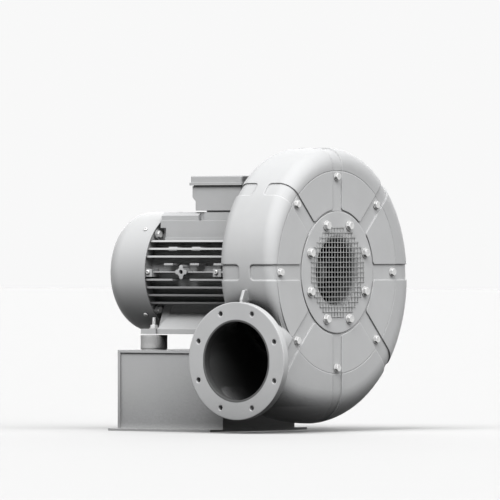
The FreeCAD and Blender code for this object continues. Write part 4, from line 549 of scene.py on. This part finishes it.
def round_head(mesh, radius, depth, matrix):
    """A domed screw head with a socket in its middle."""
    corners = [(0.0, depth * 0.45), (radius * 0.36, depth * 0.45), (radius * 0.42, depth * 0.97)]
    for step in range(7):
        angle = math.radians(75 - 75 * step / 6)
        corners.append((radius * (0.5 + 0.5 * math.cos(angle)), depth * (0.35 + 0.65 * math.sin(angle))))
    corners += [(radius, 0.0), (0.0, 0.0)]
    spun(mesh, corners, matrix, 28, closed=False)


def thread_end(mesh, radius, start, end, matrix):
    """A stud with its turned ridges and a chamfered tip, from a start to an end height."""
    pitch = radius * 0.3
    corners = [(0.0, start), (radius, start)]
    height = start + pitch
    while height < end - pitch:
        corners += [(radius, height - pitch * 0.4), (radius * 0.87, height), (radius, height + pitch * 0.4)]
        height += pitch
    corners += [(radius, end - pitch), (radius * 0.8, end), (0.0, end)]
    spun(mesh, corners, matrix, 24, closed=False)


def facing_front(place, turn):
    """A matrix whose Z points along the shaft, at (x, y, height over the shaft), turned about that Z."""
    x, y, z = place
    return (Matrix.Translation((x, y, AXIS_HEIGHT + z)) @ Matrix.Rotation(turn, 4, "X")
            @ Matrix.Rotation(math.pi / 2, 4, "Y"))


def ring_places(radius, count, offset=0.0):
    """Places round the shaft as y, height over the shaft and angle."""
    for index in range(count):
        angle = math.tau * index / count + offset
        yield radius * math.cos(angle), radius * math.sin(angle), angle


# Settings

class FanPaints(bpy.types.PropertyGroup):
    casing: bpy.props.FloatVectorProperty(
        name="Casing", description="Paint of the spiral casing", subtype="COLOR", size=4, min=0, max=1,
        default=(0.49, 0.494, 0.498, 1.0))
    cover: bpy.props.FloatVectorProperty(
        name="Cover", description="Paint of the front cover and the inlet ring", subtype="COLOR", size=4,
        min=0, max=1, default=(0.53, 0.534, 0.538, 1.0))
    motor: bpy.props.FloatVectorProperty(
        name="Motor", description="Paint of the motor, its cowl and its terminal box", subtype="COLOR",
        size=4, min=0, max=1, default=(0.475, 0.479, 0.483, 1.0))
    console: bpy.props.FloatVectorProperty(
        name="Console", description="Powder coat of the console", subtype="COLOR", size=4, min=0, max=1,
        default=(0.45, 0.454, 0.458, 1.0))
    rubber: bpy.props.FloatVectorProperty(
        name="Rubber", description="Colour of the buffers", subtype="COLOR", size=4, min=0, max=1,
        default=(0.42, 0.42, 0.42, 1.0))


class FanGuard(bpy.types.PropertyGroup):
    pitch: bpy.props.FloatProperty(
        name="Pitch", description="Distance from wire to wire", default=0.0127, min=0.004, unit="LENGTH")
    wire: bpy.props.FloatProperty(
        name="Wire", description="Diameter of a wire", default=0.0018, min=0.0005, unit="LENGTH")
    radius: bpy.props.FloatProperty(
        name="Radius", description="Radius that the mesh is trimmed to", default=0.120, min=0.02,
        unit="LENGTH")


class FanFasteners(bpy.types.PropertyGroup):
    cover_circle: bpy.props.FloatProperty(
        name="Cover circle", description="Radius of the circle of cover screws", default=0.2455,
        unit="LENGTH")
    ring_circle: bpy.props.FloatProperty(
        name="Ring circle", description="Radius of the circle of ring screws", default=0.1295,
        unit="LENGTH")
    flange_circle: bpy.props.FloatProperty(
        name="Flange circle", description="Radius of the circle of motor flange screws", default=0.15,
        unit="LENGTH")


class FanMounts(bpy.types.PropertyGroup):
    foot_rear: bpy.props.FloatProperty(
        name="Rear feet", description="Place of the rear buffers along the shaft", default=-0.077,
        unit="LENGTH")
    foot_front: bpy.props.FloatProperty(
        name="Front feet", description="Place of the front buffers along the shaft", default=0.133,
        unit="LENGTH")
    half_width: bpy.props.FloatProperty(
        name="Half width", description="Half the distance between the buffers across the shaft",
        default=0.127, unit="LENGTH")
    stud: bpy.props.FloatProperty(
        name="Stud", description="Diameter of the threaded studs", default=0.010, unit="LENGTH")
    nut: bpy.props.FloatProperty(
        name="Nut", description="Width of a nut across its flats", default=0.017, unit="LENGTH")
    rubber: bpy.props.FloatProperty(
        name="Rubber", description="Diameter of a rubber buffer", default=0.070, unit="LENGTH")


class FanStudio(bpy.types.PropertyGroup):
    floor: bpy.props.FloatVectorProperty(
        name="Floor", description="Colour of the floor", subtype="COLOR", size=4, min=0, max=1,
        default=(0.535, 0.535, 0.535, 1.0))
    floor_echo: bpy.props.FloatProperty(
        name="Floor echo", description="Share of light that the floor gives back to the object",
        default=0.1, min=0.0, max=1.0, subtype="FACTOR")
    surround: bpy.props.FloatProperty(
        name="Surround", description="Brightness of the plain backdrop behind the object", default=0.94,
        min=0.0)
    key: bpy.props.FloatProperty(
        name="Key light", description="Strength of the broad light from above and the outlet's side",
        default=3.42, min=0.0)
    key_spread: bpy.props.FloatProperty(
        name="Key spread", description="Width of the key light as seen from the object",
        default=math.radians(42), subtype="ANGLE")
    fill: bpy.props.FloatProperty(
        name="Fill light", description="Strength of the broad light from the inlet's side", default=2.85,
        min=0.0)
    back: bpy.props.FloatProperty(
        name="Back light", description="Strength of the low broad light behind the motor", default=1.3,
        min=0.0)
    spread: bpy.props.FloatProperty(
        name="Spread", description="Width of the fill and back lights as seen from the object",
        default=math.radians(60), subtype="ANGLE")
    sky: bpy.props.FloatProperty(
        name="Sky", description="Strength of the even light from all round", default=0.10, min=0.0)


# Pieces

class FanOperator:
    bl_options = {"REGISTER", "UNDO"}


class FAN_OT_finishes(FanOperator, bpy.types.Operator):
    """Give every CAD node the finish of its slot"""
    bl_idname = "fan.finishes"
    bl_label = "Finishes"

    def execute(self, context):
        make_finishes()
        for entry in frame["record"]["subparts"]:
            node = frame["nodes"][entry["node"]]
            node.data.materials.clear()
            node.data.materials.append(FINISHES[entry["material_slot"]])
        return {"FINISHED"}


class FAN_OT_cover_screws(FanOperator, bpy.types.Operator):
    """Make the hexagon screws of the front cover, with their washers"""
    bl_idname = "fan.cover_screws"
    bl_label = "Cover screws"

    def execute(self, context):
        circle = context.scene.fan_fasteners.cover_circle
        washer_depth = 0.002
        mesh = bmesh.new()
        for y, z, angle in ring_places(circle, 8):
            uneven_turn = angle * 1.7
            matrix = facing_front((PANEL_FLOOR, y, z), uneven_turn)
            washer(mesh, inner=0.0052, outer=0.0112, depth=washer_depth, matrix=matrix)
            hex_head(mesh, width=0.0172, depth=0.0072, matrix=lifted(matrix, washer_depth))
            disc(mesh, radius=0.00485, depth=0.020, matrix=lifted(matrix, -0.0179), segments=20)
        piece = finished_object("cover_screw_set", mesh, "zinc_fastener", smooth_angle=25.0)
        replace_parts(piece, "cover_bolts")
        return {"FINISHED"}


class FAN_OT_ring_screws(FanOperator, bpy.types.Operator):
    """Make the hexagon screws and washers of the inlet ring"""
    bl_idname = "fan.ring_screws"
    bl_label = "Ring screws"

    def execute(self, context):
        circle = context.scene.fan_fasteners.ring_circle
        washer_depth = 0.0025
        screws = bmesh.new()
        washers = bmesh.new()
        for y, z, angle in ring_places(circle, 8, math.pi / 8):
            uneven_turn = angle * 2.3
            matrix = facing_front((FRONT, y, z), uneven_turn)
            washer(washers, inner=0.0063, outer=0.0130, depth=washer_depth, matrix=matrix)
            hex_head(screws, width=0.0195, depth=0.0085, matrix=lifted(matrix, washer_depth))
            disc(screws, radius=0.00585, depth=0.022, matrix=lifted(matrix, -0.0195), segments=20)
        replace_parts(finished_object("ring_screw_set", screws, "zinc_fastener", smooth_angle=25.0),
                    "inlet_bolts")
        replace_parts(finished_object("ring_washer_set", washers, "zinc_fastener"), "inlet_washers")
        return {"FINISHED"}


class FAN_OT_motor_screws(FanOperator, bpy.types.Operator):
    """Make the screws of the end shields, the motor flange, the side lugs and the cowl"""
    bl_idname = "fan.motor_screws"
    bl_label = "Motor screws"

    def execute(self, context):
        self.shield_screws()
        self.flange_bolts(context.scene.fan_fasteners.flange_circle)
        self.lug_screws()
        self.cowl_screws()
        return {"FINISHED"}

    @staticmethod
    def shield_screws():
        """Four screws round each end shield, all with their heads to the front."""
        head = 0.0065
        low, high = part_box("shield_screws")
        mesh = bmesh.new()
        for y, z, angle in ring_places(SHIELD_CIRCLE, 4, math.pi / 4):
            for seat in (low[0] + 0.018, high[0] - head):
                matrix = facing_front((seat, y, z), angle)
                hex_head(mesh, width=0.016, depth=head, matrix=matrix)
                disc(mesh, radius=0.0049, depth=0.0178, matrix=lifted(matrix, -0.0179), segments=20)
        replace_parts(finished_object("shield_screw_set", mesh, "zinc_fastener", smooth_angle=25.0),
                    "shield_screws")

    @staticmethod
    def flange_bolts(circle):
        """The bolts of the motor flange, with their heads on the motor's side."""
        head = 0.010
        low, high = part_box("flange_bolts")
        shank = high[0] - low[0] - 0.0102
        mesh = bmesh.new()
        for y, z, angle in ring_places(circle, 4, math.pi / 4):
            matrix = facing_front((low[0] + head, y, z), angle) @ Matrix.Rotation(math.pi, 4, "X")
            hex_head(mesh, width=0.024, depth=head, matrix=matrix)
            disc(mesh, radius=0.0077, depth=shank, matrix=lifted(matrix, -shank), segments=24)
        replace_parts(finished_object("flange_bolt_set", mesh, "zinc_fastener", smooth_angle=25.0),
                    "flange_bolts")

    @staticmethod
    def lug_screws():
        """The domed screws of the lugs on both sides of the motor."""
        radius, height = 0.006, 0.005
        low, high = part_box("lug_screws")
        mesh = bmesh.new()
        for x in (low[0] + radius, high[0] - radius):
            for side in (-1, 1):
                seat = Matrix.Translation((x, side * (high[1] - height), AXIS_HEIGHT))
                round_head(mesh, radius, height, seat @ Matrix.Rotation(-side * math.pi / 2, 4, "X"))
        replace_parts(finished_object("lug_screw_set", mesh, "zinc_fastener"), "lug_screws")

    @staticmethod
    def cowl_screws():
        """Four domed screws round the cowl, each with its shank."""
        low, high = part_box("cowl_screws")
        cowl_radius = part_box("fan_cowl")[1][1]
        mesh = bmesh.new()
        for index in range(4):
            turn = Matrix.Rotation(math.radians(45 + 90 * index), 4, "X")
            seat = lifted(Matrix.Translation(((low[0] + high[0]) / 2, 0.0, AXIS_HEIGHT)) @ turn, cowl_radius)
            round_head(mesh, radius=0.006, depth=0.0035, matrix=seat)
            disc(mesh, radius=0.0029, depth=0.0115, matrix=lifted(seat, -0.0114), segments=16)
        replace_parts(finished_object("cowl_screw_set", mesh, "zinc_fastener"), "cowl_screws")


class FAN_OT_buffers(FanOperator, bpy.types.Operator):
    """Make the rubber buffers, their threaded studs, and the washers and nuts on the feet"""
    bl_idname = "fan.buffers"
    bl_label = "Buffers"

    def execute(self, context):
        mounts = context.scene.fan_mounts
        rubber_low, rubber_high = (corner[2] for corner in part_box("rubber_buffers"))
        stud_low, stud_high = (corner[2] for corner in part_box("buffer_upper_studs"))
        washer_low, washer_high = (corner[2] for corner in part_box("foot_washers"))
        nut_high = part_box("foot_nuts")[1][2]
        reach = mounts.rubber / 2
        plate = 0.003
        rubber = bmesh.new()
        studs = bmesh.new()
        washers = bmesh.new()
        nuts = bmesh.new()
        feet = [(x, side * mounts.half_width) for x in (mounts.foot_rear, mounts.foot_front)
                for side in (-1, 1)]
        for index, (x, y) in enumerate(feet):
            spun(rubber, self.drum(reach, rubber_high - rubber_low), Matrix.Translation((x, y, rubber_low)),
                 segments=72, closed=False)
            base = Matrix.Translation((x, y, stud_low))
            disc(studs, radius=reach - 0.002, depth=rubber_high + plate - stud_low, matrix=base, segments=56,
                 chamfer=0.0006)
            thread_end(studs, radius=mounts.stud / 2, start=0.0029, end=stud_high - stud_low, matrix=base)
            washer(washers, inner=mounts.stud / 2 + 0.0003, outer=0.012, depth=washer_high - washer_low,
                   matrix=Matrix.Translation((x, y, washer_low)))
            uneven_turn = Matrix.Rotation(math.radians(17 + 31 * index), 4, "Z")
            hex_head(nuts, width=mounts.nut, depth=nut_high - washer_high,
                     matrix=Matrix.Translation((x, y, washer_high)) @ uneven_turn, dimple=False)
        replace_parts(finished_object("rubber_drums", rubber, "buffer_rubber", smooth_angle=40.0),
                    "rubber_buffers")
        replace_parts(finished_object("foot_stud_set", studs, "zinc_fastener", smooth_angle=40.0),
                    "buffer_upper_studs")
        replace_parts(finished_object("foot_washer_set", washers, "zinc_fastener"), "foot_washers")
        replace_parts(finished_object("foot_nut_set", nuts, "zinc_fastener", smooth_angle=25.0), "foot_nuts")
        return {"FINISHED"}

    @staticmethod
    def drum(reach, height):
        """The section of a buffer: rounded rims at both ends and a slightly drawn in wall between them."""
        rim, rim_middle, waist, steps = 0.0016, 0.0005, 0.0005, 12
        corners = [(0.0, 0.0), (reach - rim, 0.0), (reach - rim_middle, rim_middle), (reach, rim)]
        for step in range(1, steps):
            share = step / steps
            drawn_in = waist * math.sin(math.pi * share) ** 0.8
            corners.append((reach - drawn_in, rim + share * (height - 2 * rim)))
        return corners + [(reach, height - rim), (reach - rim_middle, height - rim_middle),
                          (reach - rim, height), (0.0, height)]


class FAN_OT_guard(FanOperator, bpy.types.Operator):
    """Lay the guard's welded wires over the inlet, cut off at whole meshes"""
    bl_idname = "fan.guard"
    bl_label = "Guard mesh"

    def execute(self, context):
        guard = context.scene.fan_guard
        radius = guard.wire / 2
        layer = radius * 0.9
        rows = int(guard.radius / guard.pitch)
        middle = FRONT + guard.wire
        mesh = bmesh.new()
        for row in range(-rows, rows + 1):
            place = row * guard.pitch
            meshes = math.floor(math.sqrt(guard.radius ** 2 - place ** 2) / guard.pitch)
            reach = meshes * guard.pitch + guard.wire
            self.wire(mesh, place, reach, radius, middle - layer, upright=True)
            self.wire(mesh, place, reach, radius, middle + layer, upright=False)
        piece = finished_object("guard_grid", mesh, "guard_wire", smooth_angle=60.0)
        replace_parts(piece, "guard_mesh")
        return {"FINISHED"}

    @staticmethod
    def wire(mesh, place, reach, radius, depth, upright):
        """One straight wire with rounded ends, its place being its distance from the shaft."""
        if upright:
            matrix = Matrix.Translation((depth, place, AXIS_HEIGHT))
        else:
            level = Matrix.Rotation(math.pi / 2, 4, "X")
            matrix = Matrix.Translation((depth, 0.0, AXIS_HEIGHT + place)) @ level
        rod = bmesh.ops.create_cone(mesh, cap_ends=True, segments=10, radius1=radius, radius2=radius,
                                    depth=2 * reach, matrix=matrix)["verts"]
        rims = [edge for edge in {edge for vert in rod for edge in vert.link_edges}
                if edge.calc_length() < radius]
        bmesh.ops.bevel(mesh, geom=rims, offset=radius * 0.4, offset_type="OFFSET", affect="EDGES",
                        segments=2, profile=0.5, material=-1)


class FAN_OT_studio(FanOperator, bpy.types.Operator):
    """Set up the floor, the soft lights, the even sky and the camera"""
    bl_idname = "fan.studio"
    bl_label = "Studio"

    def execute(self, context):
        studio = context.scene.fan_studio
        self.floor(studio)
        self.light("key_light", studio.key, studio.key_spread, KEY_TOWARDS)
        self.light("fill_light", studio.fill, studio.spread, FILL_TOWARDS)
        self.light("back_light", studio.back, studio.spread, BACK_TOWARDS)
        self.sky(studio)
        self.camera()
        context.scene.view_settings.view_transform = "Standard"
        return {"FINISHED"}

    @staticmethod
    def floor(studio):
        """A grid that reaches far beyond the picture."""
        mesh = bmesh.new()
        bmesh.ops.create_grid(mesh, x_segments=2, y_segments=2, size=60.0)
        data = bpy.data.meshes.new("floor")
        mesh.to_mesh(data)
        mesh.free()
        floor = bpy.data.objects.new("floor", data)
        bpy.context.scene.collection.objects.link(floor)
        data.materials.append(floor_paint("floor_paint", studio.floor, studio.floor_echo))
        return floor

    @staticmethod
    def light(name, strength, spread, towards):
        """A wide sun lamp that shines from a direction seen from the fan."""
        data = bpy.data.lights.new(name, "SUN")
        data.energy = strength
        data.angle = spread
        light = bpy.data.objects.new(name, data)
        bpy.context.scene.collection.objects.link(light)
        light.rotation_euler = Vector(towards).to_track_quat("Z", "Y").to_euler()

    @staticmethod
    def sky(studio):
        """A plain white backdrop for the eye, and weak even light on the object."""
        world = bpy.data.worlds.new("studio_sky")
        bpy.context.scene.world = world
        world.use_nodes = True
        tree = world.node_tree
        even = tree.nodes["Background"]
        backdrop = tree.nodes.new("ShaderNodeBackground")
        for node, strength in ((even, studio.sky), (backdrop, studio.surround)):
            node.inputs["Color"].default_value = (1.0, 1.0, 1.0, 1.0)
            node.inputs["Strength"].default_value = strength
        show_to_eye(tree, even.outputs["Background"], backdrop.outputs["Background"], "World Output")

    @staticmethod
    def camera():
        """The photograph's view: level, from far off, 36.3 degrees round from the outlet's side."""
        turn = math.radians(36.3)
        distance = 20.0
        # 500 pixels of the photograph, at 0.39 of a pixel to a millimetre
        frame_width = 0.500 / 0.39
        # A point at the height of the picture's middle, and how far to the right of the middle it is seen
        mark = Vector((0.416, 0.0, 0.467))
        aside = 0.2241
        data = bpy.data.cameras.new("camera")
        data.sensor_width = 36.0
        data.lens = data.sensor_width * distance / frame_width
        data.clip_end = 200.0
        camera = bpy.data.objects.new("camera", data)
        bpy.context.scene.collection.objects.link(camera)
        aim = mark - Vector((math.cos(turn), math.sin(turn), 0.0)) * aside
        camera.location = aim + Vector((math.sin(turn), -math.cos(turn), 0.0)) * distance
        camera.rotation_euler = (math.pi / 2, 0.0, turn)
        bpy.context.scene.camera = camera


class FAN_PT_panel(bpy.types.Panel):
    """The fan's pieces, one button each"""
    bl_idname = "FAN_PT_panel"
    bl_label = "High pressure fan"
    bl_space_type = "VIEW_3D"
    bl_region_type = "UI"
    bl_category = "Fan"

    def draw(self, context):
        column = self.layout.column()
        for group in SETTINGS:
            column.label(text=group)
            settings = getattr(context.scene, group)
            for name in settings.bl_rna.properties.keys():
                if name not in ("rna_type", "name"):
                    column.prop(settings, name)
        for operator in OPERATORS:
            column.operator(operator.bl_idname)


SETTINGS = {
    "fan_paints": FanPaints,
    "fan_guard": FanGuard,
    "fan_fasteners": FanFasteners,
    "fan_mounts": FanMounts,
    "fan_studio": FanStudio,
}
OPERATORS = (FAN_OT_finishes, FAN_OT_cover_screws, FAN_OT_ring_screws, FAN_OT_motor_screws, FAN_OT_buffers,
             FAN_OT_guard, FAN_OT_studio)
CLASSES = (*SETTINGS.values(), *OPERATORS, FAN_PT_panel)


def register():
    for kind in CLASSES:
        bpy.utils.register_class(kind)
    for name, kind in SETTINGS.items():
        setattr(bpy.types.Scene, name, bpy.props.PointerProperty(type=kind))


def unregister():
    for name in SETTINGS:
        delattr(bpy.types.Scene, name)
    for kind in reversed(CLASSES):
        bpy.utils.unregister_class(kind)


def main():
    register()
    for operator in OPERATORS:
        group, name = operator.bl_idname.split(".")
        getattr(getattr(bpy.ops, group), name)()


if __name__ == "__main__":
    main()
